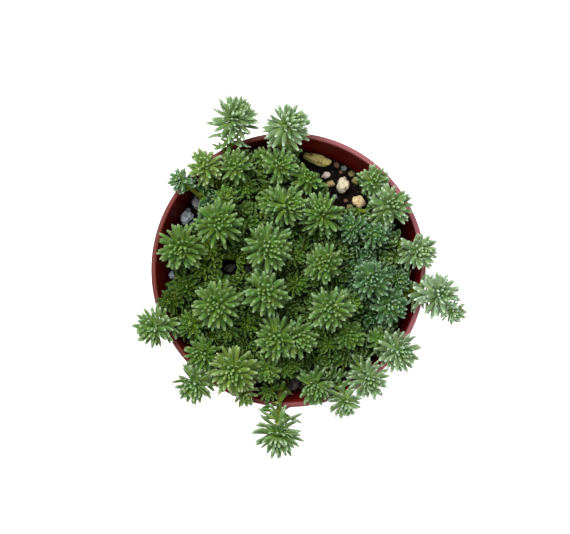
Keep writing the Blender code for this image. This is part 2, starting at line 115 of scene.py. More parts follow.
# Each stem's first head ends it, and the others end its side branches
STEMS: list[list[Head]] = [
    [Head(239, 110, 16, 8.2, 24, 40)],
    [Head(296, 119, 19, 7.9, 32, 25)],
    [Head(202, 163, 14, 5.9, 8, 130)],
    [Head(174, 178, 8, 4.0, 28, 165)],
    [Head(234, 163, 14, 5.6, 8, 110), Head(245, 188, 6, 3.8, 5, 90)],
    [Head(281, 162, 16, 5.9, 10, 50), Head(261, 154, 6, 3.8, 10, 95)],
    [Head(310, 175, 14, 6.0, 8, 60)],
    [Head(220, 222, 23, 7.9, 10, 30), Head(226, 195, 13, 4.6, 10, 95)],
    [Head(178, 251, 17, 8.0, 10, 255)],
    [Head(294, 204, 21, 6.8, 25, 10), Head(270, 202, 17, 5.6, 14, 180)],
    [Head(320, 207, 19, 7.3, 28, 105)],
    [Head(376, 235, 11, 4.8, 5, 300), Head(350, 227, 11, 5.0, 5, 170)],
    [Head(376, 178, 10, 5.5, 10, 45)],
    [Head(395, 203, 17, 7.3, 10, 40)],
    [Head(424, 251, 14, 6.5, 13, 10)],
    [Head(445, 295, 16, 7.7, 12, 20), Head(459, 315, 10, 4.6, 26, 330)],
    [Head(273, 249, 25, 8.1, 16, 350), Head(297, 257, 10, 4.0, 5, 0)],
    [Head(323, 264, 19, 6.5, 5, 180)],
    [Head(214, 307, 24, 8.1, 5, 200), Head(227, 334, 12, 4.2, 10, 240)],
    [Head(265, 294, 25, 7.6, 3, 150), Head(300, 284, 7, 4.6, 5, 0)],
    [Head(373, 281, 19, 6.5, 3, 180), Head(402, 282, 8, 4.8, 10, 0)],
    [Head(394, 307, 15, 6.2, 8, 0)],
    [Head(330, 311, 23, 7.3, 4, 200), Head(355, 304, 9, 4.0, 5, 0)],
    [Head(272, 341, 21, 7.5, 16, 190), Head(302, 342, 20, 6.9, 16, 340)],
    [Head(351, 337, 13, 5.0, 5, 0), Head(325, 347, 8, 4.1, 5, 240)],
    [Head(404, 355, 14, 7.2, 12, 340), Head(380, 340, 7, 4.6, 5, 0)],
    [Head(371, 386, 13, 6.5, 14, 275)],
    [Head(346, 412, 10, 5.6, 42, 275)],
    [Head(313, 391, 11, 6.4, 12, 240)],
    [Head(231, 377, 20, 8.3, 12, 250), Head(245, 399, 10, 4.9, 18, 275)],
    [Head(190, 390, 13, 6.7, 18, 240)],
    [Head(279, 447, 15, 8.0, 30, 278), Head(268, 397, 3, 3.8, 20, 270)],
    [Head(199, 357, 11, 6.4, 12, 205), Head(188, 324, 8, 5.0, 10, 215)],
    [Head(267, 374, 12, 4.5, 14, 270), Head(290, 368, 7, 4.4, 5, 270)],
    [Head(167, 302, 6, 4.6, 12, 190), Head(185, 286, 8, 4.5, 10, 150)],
    [Head(147, 330, 12, 6.9, 15, 200)],
    [Head(206, 250, 9, 4.1, 10, 260)],
    [Head(247, 327, 8, 3.8, 5, 270)],
]


class Green(Enum):
    """The three greens of the plants, each with its slot in the record."""

    MID = "green_leaf"
    BLUE = "blue_green_leaf"
    YELLOW = "yellow_green_leaf"


STEM_GREENS = dict.fromkeys((4, 12, 21, 22), Green.BLUE) | dict.fromkeys((3, 30, 37), Green.YELLOW)


def linear(hex_colour: str) -> tuple[float, ...]:
    """Turns an sRGB hex colour, such as "#8B3A2E", to linear red, green, blue and alpha."""
    channels = [int(hex_colour[place : place + 2], 16) / 255 for place in (1, 3, 5)]
    return (*(c / 12.92 if c <= 0.04045 else ((c + 0.055) / 1.055) ** 2.4 for c in channels), 1.0)


def scale_of(size: float) -> float:
    """The texture scale of a pattern whose features are this many millimetres apart."""
    return 1 / (size * MM)


def feed(node: Node, inputs: dict) -> None:
    """Sets a node's inputs.

    Args:
        node: the node.
        inputs: for an input's name or number, its value, the output that feeds it, or the node
            whose first output in use feeds it.
    """
    for key, value in inputs.items():
        if isinstance(value, Node):
            value = next(output for output in value.outputs if output.enabled)
        if isinstance(value, NodeSocket):
            node.id_data.links.new(value, node.inputs[key])
        else:
            node.inputs[key].default_value = value


def add_node(tree: NodeTree, kind: str, inputs: dict | None = None, **settings) -> Node:
    """Adds a node to a tree.

    Args:
        tree: the shader or geometry tree.
        kind: the node's type.
        inputs: what its inputs take, as feed has them.
        settings: the node's own properties.

    Returns:
        The new node.
    """
    node = tree.nodes.new(kind)
    for name, value in settings.items():
        setattr(node, name, value)
    feed(node, inputs or {})
    return node


def with_stops(ramp: Node, stops: Stops) -> Node:
    """Gives a colour ramp its stops.

    Args:
        ramp: the Color Ramp node.
        stops: each stop's place from 0 to 1 and its hex colour, in order.

    Returns:
        The same node.
    """
    elements = ramp.color_ramp.elements
    while len(elements) < len(stops):
        elements.new(1.0)
    for element, (place, colour) in zip(elements, stops):
        element.position, element.color = place, linear(colour)
    return ramp


class Finish:
    """A material in the making, with its shader and the Object coordinates."""

    def __init__(self, name: str) -> None:
        """Starts the material, which is named for what the real finish is."""
        self.material = bpy.data.materials.new(name)
        self.material.use_nodes = True
        self.shader = self.material.node_tree.nodes["Principled BSDF"]
        self.place = self.add("TexCoord").outputs["Object"]

    def add(self, kind: str, inputs: dict | None = None, **settings) -> Node:
        """Adds a shader node, whose kind is named without ShaderNode, as add_node does."""
        return add_node(self.material.node_tree, f"ShaderNode{kind}", inputs, **settings)

    def done(self, inputs: dict) -> Material:
        """Feeds the shader, as feed does, and gives the material."""
        feed(self.shader, inputs)
        return self.material


def new_piece(name: str, mesh: Mesh, material: Material | None = None) -> Object:
    """Links a mesh to the scene as an object at the origin.

    Args:
        name: the object's name.
        mesh: its mesh, already in place and in metres.
        material: its only material, unless the mesh has its own.

    Returns:
        The object.
    """
    mesh.name = name
    if material:
        mesh.materials.clear()
        mesh.materials.append(material)
    piece = bpy.data.objects.new(name, mesh)
    bpy.context.scene.collection.objects.link(piece)
    return piece


def plain_mesh(bm: BMesh, name: str) -> Mesh:
    """Turns a bmesh to a mesh as it is, and frees it."""
    mesh = bpy.data.meshes.new(name)
    bm.to_mesh(mesh)
    bm.free()
    return mesh


def mesh_of(bm: BMesh, name: str) -> Mesh:
    """Turns a bmesh in millimetres into a smooth mesh in metres, with its faces out.

    Args:
        bm: the bmesh, which is freed.
        name: the mesh's name.

    Returns:
        The mesh.
    """
    bmesh.ops.remove_doubles(bm, verts=bm.verts, dist=1e-5)
    bmesh.ops.recalc_face_normals(bm, faces=bm.faces)
    bmesh.ops.scale(bm, vec=(MM, MM, MM), verts=bm.verts)
    mesh = plain_mesh(bm, name)
    mesh.shade_smooth()
    return mesh


def baked(piece: Object) -> Mesh:
    """Turns an object with modifiers into the plain mesh that they make.

    Args:
        piece: the object, which loses its modifiers.

    Returns:
        The new mesh.
    """
    bpy.context.view_layer.update()
    graph = bpy.context.evaluated_depsgraph_get()
    made = piece.evaluated_get(graph)
    mesh = bpy.data.meshes.new_from_object(made, preserve_all_data_layers=True, depsgraph=graph)
    piece.modifiers.clear()
    return mesh


def add_attribute(mesh: Mesh, name: str, kind: str, values: Sequence) -> None:
    """Stores a value for each vertex.

    Args:
        mesh: the mesh.
        name: the attribute's name.
        kind: FLOAT, FLOAT_VECTOR, INT or BOOLEAN.
        values: one value for each vertex.
    """
    slot = "vector" if kind == "FLOAT_VECTOR" else "value"
    mesh.attributes.new(name, kind, "POINT").data.foreach_set(slot, np.asarray(values).ravel())


def hand_over(piece: Object, node: str | None = None) -> None:
    """Tells the frame what a piece rides on and hides the CAD node that it stands for.

    Args:
        piece: the finished object.
        node: the CAD node that it replaces, if any.
    """
    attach(piece, BODY)
    if node:
        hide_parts(node)
    LOG.info("%s: %d faces", piece.name, len(piece.data.polygons))


def place_seen(seen_x: float, seen_y: float, above_rim: float) -> Pair:
    """The millimetre place of a point seen at a pixel, at a height above the rim."""
    scale = Pot.rim_radius / SEEN_RIM_RADIUS * (CAMERA_ABOVE_RIM - above_rim) / CAMERA_ABOVE_RIM
    return (seen_x - SEEN_CENTRE[0]) * scale, (SEEN_CENTRE[1] - seen_y) * scale


def length_of(vector: np.ndarray) -> float:
    """The vector's length."""
    return sqrt(float(vector @ vector))


def unit(vector: np.ndarray) -> np.ndarray:
    """The vector at length 1."""
    return vector / length_of(vector)


@dataclass(frozen=True)
class PotPlastic:
    """Injection-moulded polypropylene in brick red.

    The eye gets a thin satin skin with cloudy tone and faint dusty scuffs round the pot, and on the
    side that faces +X a rim painted pink, a painted sheen that stands in for the light it reflects.
    """

    body: str = "#681F15"
    inside: str = "#881E18"
    # The colour of the scuffs' dusting, which also paints the pink sheen on the rim
    dust_and_sheen: str = "#C27680"
    cloud: float = 18.0
    scuff_length: float = 6.0
    # The mould's real grain is about 0.1 mm, too fine to show, so it is drawn coarser
    grain: float = 0.45
    grain_depth: float = 0.03

    def make(self) -> Material:
        """Builds the material, which is darker where the attribute called inside is 1."""
        made = Finish("moulded_polypropylene")
        add, place = made.add, made.place
        inside = add("Attribute", attribute_name="inside").outputs["Fac"]
        cloud = add("TexNoise", {"Vector": place, "Scale": scale_of(self.cloud), "Detail": 4.0})
        # Scuffs run round the pot, so the pattern is squeezed in height
        squeezed = add("Mapping", {"Vector": place, "Scale": (1.0, 1.0, 5.0)})
        scuffs = add("TexNoise", {"Vector": squeezed, "Scale": scale_of(self.scuff_length), "Detail": 6.0})
        dusty = add("MapRange", {"Value": scuffs, "From Min": 0.58, "From Max": 0.8, "To Max": 0.2})
        colours = {"Factor": inside, 6: linear(self.body), 7: linear(self.inside)}
        base = add("Mix", colours, data_type="RGBA")
        shade = add(
            "MapRange",
            {"Value": cloud, "From Min": 0.3, "From Max": 0.7, "To Min": 0.85, "To Max": 1.12},
        )
        toned = add("HueSaturation", {"Color": base, "Value": shade})
        # Painted sheen: the rim on the side that faces +X is painted pink for the light that it reflects, and
        # the wall under it less
        across = add("SeparateXYZ", {"Vector": place}).outputs
        painted_sheen_side = add(
            "MapRange",
            {"Value": across["X"], "From Min": -15 * MM, "From Max": 42 * MM, "To Max": 0.6},
        )
        high = add(
            "MapRange",
            {"Value": across["Z"], "From Min": 72 * MM, "From Max": 77.5 * MM, "To Min": 0.14},
        )
        painted_sheen_mask = add("Math", {0: painted_sheen_side, 1: high}, operation="MULTIPLY")
        painted_rim_sheen = add("Math", {0: painted_sheen_mask, 1: inside}, operation="SUBTRACT", use_clamp=True)
        # The dusty scuffs and the painted sheen on the rim come in through one mask
        worn = add("Math", {0: dusty, 1: painted_rim_sheen}, operation="MAXIMUM")
        dusted_and_sheened = add("Mix", {"Factor": worn, 6: toned, 7: linear(self.dust_and_sheen)}, data_type="RGBA")
        grain = add("TexNoise", {"Vector": place, "Scale": scale_of(self.grain), "Detail": 3.0})
        return made.done(
            {
                "Base Color": dusted_and_sheened,
                "Roughness": add("MapRange", {"Value": scuffs, "To Min": 0.34, "To Max": 0.56}),
                "Normal": add("Bump", {"Height": grain, "Strength": 0.25, "Distance": self.grain_depth * MM}),
                # The inner wall is seen along its face, where any gloss would mirror the soil
                "Specular IOR Level": add("MapRange", {"Value": inside, "To Min": 0.25, "To Max": 0.02}),
                "IOR": 1.49,
            }
        )


@dataclass(frozen=True)
class PottingMix:
    """Damp peat with grit, tipped in and watered: nearly black and matt, with brown crumbs."""

    dark: str = "#080605"
    crumb: str = "#22180F"
    crumb_size: float = 1.6
    crumb_depth: float = 0.5

    def make(self) -> Material:
        """Builds the material of the bed."""
        made = Finish("damp_peat_mix")
        crumbs = made.add(
            "TexNoise", {"Vector": made.place, "Scale": scale_of(self.crumb_size), "Detail": 8.0}
        )
        ramp = made.add("ValToRGB", {"Fac": crumbs})
        relief = {"Height": crumbs, "Strength": 0.9, "Distance": self.crumb_depth * MM}
        return made.done(
            {
                "Base Color": with_stops(ramp, ((0.35, self.dark), (0.75, self.crumb))),
                "Normal": made.add("Bump", relief),
                "Roughness": 0.9,
                "IOR": 1.4,
                "Specular IOR Level": 0.15,
            }
        )


@dataclass(frozen=True)
class Grit:
    """Crushed stone and bark crumbs: dry and matt, each with its own tone from brown to grey."""

    stops: Stops = (
        *((0.0, "#060504"), (0.55, "#120D0A"), (0.8, "#2A1F15")),
        *((0.93, "#4A4432"), (1.0, "#77735E")),
    )
    speck: float = 0.3
    speck_depth: float = 0.08

    def make(self) -> Material:
        """Builds the material, whose colour follows the attribute called tone."""
        made = Finish("crushed_grit")
        tone = made.add("Attribute", attribute_name="tone").outputs["Fac"]
        ramp = with_stops(made.add("ValToRGB", {"Fac": tone}), self.stops)
        specks = made.add("TexNoise", {"Vector": made.place, "Scale": scale_of(self.speck), "Detail": 3.0})
        shade = made.add("MapRange", {"Value": specks, "To Min": 0.6, "To Max": 1.4})
        relief = {"Height": specks, "Strength": 0.6, "Distance": self.speck_depth * MM}
        return made.done(
            {
                "Base Color": made.add("HueSaturation", {"Color": ramp, "Value": shade}),
                "Normal": made.add("Bump", relief),
                "Roughness": 0.85,
                "Specular IOR Level": 0.2,
            }
        )


@dataclass(frozen=True)
class RiverStone:
    """River stone, ground smooth by water.

    The eye gets a dull dry pebble: a body colour with patches, fine specks and thin pale veins.
    """

    name: str
    body: str
    patch: str
    vein: str
    patch_size: float = 2.2
    vein_size: float = 3.2
    veined: float = 0.35
    # Real mineral grains are about 0.1 mm, too fine to show, so they are drawn coarser
    speck: float = 0.35
    speck_depth: float = 0.12

    def make(self) -> Material:
        """Builds the material of one pebble."""
        made = Finish(f"pebble_{self.name}")
        add, place = made.add, made.place
        spread = {"Vector": place, "Scale": scale_of(self.patch_size), "Detail": 5.0, "Distortion": 0.6}
        patches = add("TexNoise", spread)
        patched = add("ValToRGB", {"Fac": patches})
        with_stops(patched, ((0.38, self.patch), (0.48, self.body)))
        lines = {"Vector": place, "Scale": scale_of(self.vein_size), "Detail": 2.0, "Distortion": 1.4}
        veins = add("TexNoise", lines, noise_type="RIDGED_MULTIFRACTAL")
        share = add("MapRange", {"Value": veins, "From Min": 0.75, "From Max": 1.1, "To Max": self.veined})
        veined = add("Mix", {"Factor": share, 6: patched, 7: linear(self.vein)}, data_type="RGBA")
        specks = add("TexNoise", {"Vector": place, "Scale": scale_of(self.speck), "Detail": 4.0})
        shade = add("MapRange", {"Value": specks, "To Min": 0.72, "To Max": 1.28})
        relief = {"Height": specks, "Strength": 0.5, "Distance": self.speck_depth * MM}
        return made.done(
            {
                "Base Color": add("HueSaturation", {"Color": veined, "Value": shade}),
                "Normal": add("Bump", relief),
                "Roughness": 0.72,
            }
        )


@dataclass(frozen=True)
class FleshyLeaf:
    """A live stonecrop leaf, swollen with sap under a skin of tiny papillae.

    The eye gets yellow-green at its foot, green in the middle and, where the papillae scatter the
    light, a pale matt frost at its tip and edges. Old leaves are darker, and withered ones brown.
    The colour also holds painted light: leaves in more light are painted brighter, less saturated and
    with more frost, and leaves in shade darker; the darker green of older leaves is partly painted shade.
    """

    green: Green
    foot: str
    middle: str
    # The green of older leaves, which also paints shade low down and under other stems
    old_and_shaded: str
    # The tip's frost in full light, and the same frost in painted shade
    tip: str
    shaded_tip: str
    withered: str = "#54381E"
    mottle: float = 0.9
    hue_patch: float = 3.5
    # Real papillae are about 0.05 mm, too fine to show, so they are drawn coarser
    papilla: float = 0.22
    papilla_depth: float = 0.05

    def make(self) -> Material:
        """Builds the material, which reads what each leaf stores about itself."""
        made = Finish(f"fleshy_{self.green.value}")
        add, place = made.add, made.place
        stored = {
            name: add("Attribute", attribute_name=name).outputs["Fac"]
            for name in ("along", "edge", "tone", "age", "dry", "light")
        }
        light = stored["light"]
        mottle = add("TexNoise", {"Vector": place, "Scale": scale_of(self.mottle), "Detail": 3.0})
        rise = add(
            "MapRange",
            {"Value": stored["along"], "From Min": 0.1, "From Max": 0.6},
            interpolation_type="SMOOTHSTEP",
        )
        green = {"Factor": stored["age"], 6: linear(self.middle), 7: linear(self.old_and_shaded)}
        blade = {"Factor": rise, 6: linear(self.foot), 7: add("Mix", green, data_type="RGBA")}
        # Painted light: the tip's frost goes from its shaded colour to its lit one as the leaf's light rises
        painted_light_share = add("MapRange", {"Value": light, "From Min": 0.35, "From Max": 1.05})
        painted_lit_tip = {"Factor": painted_light_share, 6: linear(self.shaded_tip), 7: linear(self.tip)}
        tipped = {
            "Factor": self.frost(made, stored, rise, mottle),
            6: add("Mix", blade, data_type="RGBA"),
            7: add("Mix", painted_lit_tip, data_type="RGBA"),
        }
        fresh = add("Mix", tipped, data_type="RGBA")
        withered = {"Factor": stored["dry"], 6: fresh, 7: linear(self.withered)}
        own = add("MapRange", {"Value": stored["tone"], "To Min": 0.85, "To Max": 1.24})
        # Painted light: the leaf is painted darker where its light is low and brighter where it is high
        grown = add("MapRange", {"Value": light, "From Min": -0.5, "To Min": 0.6, "To Max": 1.18})
        # Neighbouring leaves differ a little in hue, towards blue or towards yellow
        patch = add("TexNoise", {"Vector": place, "Scale": scale_of(self.hue_patch), "Detail": 1.0})
        drift = {"Value": patch, "From Min": 0.3, "From Max": 0.7, "To Min": 0.484, "To Max": 0.520}
        toned = {
            "Color": add("Mix", withered, data_type="RGBA"),
            "Hue": add("MapRange", drift),
            # Painted light: leaves in more light are painted less saturated
            "Saturation": add("MapRange", {"Value": light, "To Min": 1.02, "To Max": 0.85}),
            "Value": add("Math", {0: own, 1: grown}, operation="MULTIPLY"),
        }
        skin = add("TexVoronoi", {"Vector": place, "Scale": scale_of(self.papilla)})
        relief = {"Height": skin, "Strength": 0.35, "Distance": self.papilla_depth * MM}
        return made.done(
            {
                "Base Color": add("HueSaturation", toned),
                "Roughness": add("MapRange", {"Value": mottle, "To Min": 0.42, "To Max": 0.62}),
                "Normal": add("Bump", relief),
                "IOR": 1.42,
                "Specular IOR Level": 0.16,
            }
        )

    def frost(self, made: Finish, stored: dict[str, NodeSocket], rise: Node, mottle: Node) -> Node:
        """The share of frost on the skin, which is partly painted light: leaves in more light get more.

        Args:
            made: the material in the making.
            stored: what each leaf stores about itself.
            rise: from 0 at the foot to 1 on the blade.
            mottle: the uneven pattern.

        Returns:
            The node that gives the share.
        """
        add, light = made.add, stored["light"]
        tip = add("MapRange", {"Value": stored["along"], "From Min": 0.77, "From Max": 0.97, "To Max": 0.92})
        side = add("MapRange", {"Value": stored["edge"], "From Min": 0.56, "From Max": 1.0, "To Max": 0.85})
        # Painted light: in full light the whole blade is painted a little paler
        painted_lit_pallor = add("MapRange", {"Value": light, "From Min": 0.6, "From Max": 1.0, "To Max": 0.22})
        margin, painted_pallor = (add("Math", {0: cover, 1: rise}, operation="MULTIPLY") for cover in (side, painted_lit_pallor))
        rimmed = add("Math", {0: tip, 1: margin}, operation="MAXIMUM")
        frost_and_pallor = add("Math", {0: rimmed, 1: painted_pallor}, operation="MAXIMUM")
        # Older leaves, and those painted older as painted shade, carry less frost
        young_and_unshaded = add("MapRange", {"Value": stored["age"], "From Max": 0.25, "To Min": 0.4})
        unfolded = add("Math", {0: frost_and_pallor, 1: young_and_unshaded}, operation="MULTIPLY")
        uneven = add(
            "MapRange",
            {"Value": mottle, "From Min": 0.3, "From Max": 0.7, "To Min": 0.7, "To Max": 1.15},
        )
        # Painted light: the frost spreads further on leaves in more light
        lit = add("MapRange", {"Value": light, "To Min": 0.4, "To Max": 1.1})
        spread = add("Math", {0: uneven, 1: lit}, operation="MULTIPLY")
        return add("Math", {0: unfolded, 1: spread}, operation="MULTIPLY", use_clamp=True)


LEAF_SKINS = (
    FleshyLeaf(Green.MID, "#7EA412", "#5E8426", "#486820", "#BED4BA", "#8CA870"),
    FleshyLeaf(Green.BLUE, "#6C9A1A", "#527E3C", "#3E6230", "#CCE0D0", "#A4C2A2"),
    FleshyLeaf(Green.YELLOW, "#84A812", "#688C20", "#546C1C", "#CADAB6", "#90A860"),
)


@dataclass(frozen=True)
class StemBark:
    """A juicy stonecrop stem: dull brown cork by the soil, yellow-green and scarred near its head."""

    stops: Stops = ((0.0, "#3B2A18"), (0.35, "#5A4A1E"), (0.65, "#6C7420"), (1.0, "#7A962A"))
    patch: float = 1.4
    # The scars of fallen leaves, about a millimetre apart
    scar: float = 1.0
    scar_depth: float = 0.15

    def make(self) -> Material:
        """Builds the material, whose colour follows the attribute called climb."""
        made = Finish("stonecrop_stem")
        add, place = made.add, made.place
        climb = add("Attribute", attribute_name="climb").outputs["Fac"]
        patches = add("TexNoise", {"Vector": place, "Scale": scale_of(self.patch), "Detail": 4.0})
        wander = add("MapRange", {"Value": patches, "To Min": -0.22, "To Max": 0.22})
        where = add("Math", {0: climb, 1: wander}, operation="ADD")
        scars = add("TexVoronoi", {"Vector": place, "Scale": scale_of(self.scar)})
        relief = {"Height": scars, "Strength": 0.6, "Distance": self.scar_depth * MM}
        return made.done(
            {
                "Base Color": with_stops(add("ValToRGB", {"Fac": where}), self.stops),
                "Normal": add("Bump", relief),
                "Roughness": 0.55,
            }
        )


def rounded(corners: Sequence[Triple], steps: int) -> list[Pair]:
    """Rounds the corners of an open outline.

    Args:
        corners: each corner's two coordinates and its radius, which is 0 at a sharp one.
        steps: the number of edges in each arc.

    Returns:
        The outline's points.
    """
    made = []
    for index, (x, y, radius) in enumerate(corners):
        if radius <= 0.0:
            made.append((x, y))
            continue
        here = Vector((x, y))
        start = here + (Vector(corners[index - 1][:2]) - here).normalized() * radius
        end = here + (Vector(corners[index + 1][:2]) - here).normalized() * radius
        for step in range(steps + 1):
            share = step / steps
            made.append(tuple(start * (1 - share) ** 2 + here * 2 * share * (1 - share) + end * share**2))
    return made


@dataclass
class Pot:
    """The nursery pot: a thin tapered wall under a collar, with drain holes round its base."""

    height: float = 78.0
    rim_radius: float = 45.0
    lip_width: float = 1.6
    inner_taper: float = 0.13
    wall: float = 1.0
    base_thickness: float = 1.4
    collar_height: float = 14.0
    edge: float = 0.5
    fillet: float = 0.4
    drain_holes: int = 6
    drain_radius: float = 3.2
    drain_circle: float = 22.0
    steps: int = 144
    sharp_angle: float = radians(40.0)
    plastic: PotPlastic = PotPlastic()

    def inner_radius(self, height: float) -> float:
        """The inner wall's radius at this height."""
        return self.rim_radius - self.lip_width - (self.height - height) * self.inner_taper

    def outer_radius(self, height: float) -> float:
        """The outside's radius at this height, collar included."""
        if height > self.height - self.collar_height:
            return self.rim_radius
        return self.inner_radius(height) + self.wall

    def profile(self) -> list[Pair]:
        """The wall's section from the middle of the underside round to the middle of the base."""
        collar_low = self.height - self.collar_height
        lip_low = self.height - 2 * self.edge
        corners = [
            (0.0, 0.0, 0.0),
            (self.inner_radius(0.0) + self.wall, 0.0, 2 * self.edge),
            (self.inner_radius(collar_low) + self.wall, collar_low, self.fillet),
            (self.rim_radius, collar_low, self.edge),
            (self.rim_radius, self.height, self.edge),
            (self.rim_radius - self.lip_width, self.height, self.edge),
            (self.inner_radius(lip_low), lip_low, 0.0),
            (self.inner_radius(self.base_thickness), self.base_thickness, self.edge),
            (0.0, self.base_thickness, 0.0),
        ]
        return rounded(corners, 5)

    def build(self) -> None:
        """Makes the pot, cuts its drain holes and dresses it."""
        plastic = self.plastic.make()
        body = new_piece("nursery_pot", self.turned(), plastic)
        tools = bpy.data.collections.new("drain_cutters")
        for index in range(self.drain_holes):
            tools.objects.link(self.drain_cutter(index))
        bpy.context.scene.collection.children.link(tools)
        cut = body.modifiers.new("drains", "BOOLEAN")
        cut.operand_type, cut.collection, cut.solver = "COLLECTION", tools, "EXACT"
        body.data = baked(body)
        remove_forms(tools)
        body.data.materials.clear()
        body.data.materials.append(plastic)
        body.data.shade_smooth()
        body.data.set_sharp_from_angle(angle=self.sharp_angle)
        self.mark_inside(body.data)
        hand_over(body, "pot")

    def turned(self) -> Mesh:
        """The closed mesh of the section turned about the pot's axis."""
        bm = bmesh.new()
        verts = [bm.verts.new((radius, 0.0, height)) for radius, height in self.profile()]
        edges = [bm.edges.new(pair) for pair in zip(verts, verts[1:])]
        turn = {"axis": (0.0, 0.0, 1.0), "cent": (0.0, 0.0, 0.0), "angle": 2 * pi, "steps": self.steps}
        bmesh.ops.spin(bm, geom=verts + edges, use_merge=True, **turn)
        return mesh_of(bm, "turned")

    def drain_cutter(self, index: int) -> Object:
        """The upright cutter of one drain hole."""
        angle = 2 * pi * (index + 0.5) / self.drain_holes
        radius = self.drain_radius
        bm = bmesh.new()
        bmesh.ops.create_cone(bm, cap_ends=True, segments=32, radius1=radius, radius2=radius, depth=8.0)
        place = (self.drain_circle * cos(angle), self.drain_circle * sin(angle), 0.0)
        bmesh.ops.translate(bm, vec=place, verts=bm.verts)
        return bpy.data.objects.new(f"drain_{index}", mesh_of(bm, f"drain_{index}"))

    def mark_inside(self, mesh: Mesh) -> None:
        """Stores which vertices are on the inner wall and floor, which stay dark and damp."""
        inside = []
        for vert in mesh.vertices:
            height = vert.co.z / MM
            radius = hypot(vert.co.x, vert.co.y) / MM
            near = radius < self.inner_radius(height) + 0.2 and height < self.height - 1.5 * self.edge
            inside.append(1.0 if near and height > self.base_thickness - 0.1 else 0.0)
        add_attribute(mesh, "inside", "FLOAT", inside)


def new_tree(name: str, sockets: dict[str, str]) -> NodeTree:
    """Starts a Geometry Nodes tree with a geometry input and output.

    Args:
        name: the tree's name.
        sockets: each further input's name and the end of its socket type.

    Returns:
        The tree.
    """
    tree = bpy.data.node_groups.new(name, "GeometryNodeTree")
    for label, kind in {"Geometry": "Geometry", **sockets}.items():
        tree.interface.new_socket(label, in_out="INPUT", socket_type=f"NodeSocket{kind}")
    tree.interface.new_socket("Geometry", in_out="OUTPUT", socket_type="NodeSocketGeometry")
    return tree


def grow(piece: Object, tree: NodeTree, values: dict) -> None:
    """Turns a piece to the plain mesh that a Geometry Nodes tree makes of it.

    Args:
        piece: the object.
        tree: the tree.
        values: each input's name and value.
    """
    step = piece.modifiers.new(tree.name, "NODES")
    step.node_group = tree
    for socket in tree.interface.items_tree:
        if socket.in_out == "INPUT" and socket.name in values:
            step[socket.identifier] = values[socket.name]
    piece.data = baked(piece)


def new_forms(name: str, meshes: Sequence[Mesh]) -> Collection:
    """Puts the shapes that a tree repeats into a collection, in the order of their names."""
    forms = bpy.data.collections.new(name)
    for mesh in meshes:
        forms.objects.link(bpy.data.objects.new(mesh.name, mesh))
    return forms


def remove_forms(forms: Collection) -> None:
    """Removes shapes that were repeated or cut with, and their collection."""
    for form in list(forms.objects):
        bpy.data.objects.remove(form)
    bpy.data.collections.remove(forms)


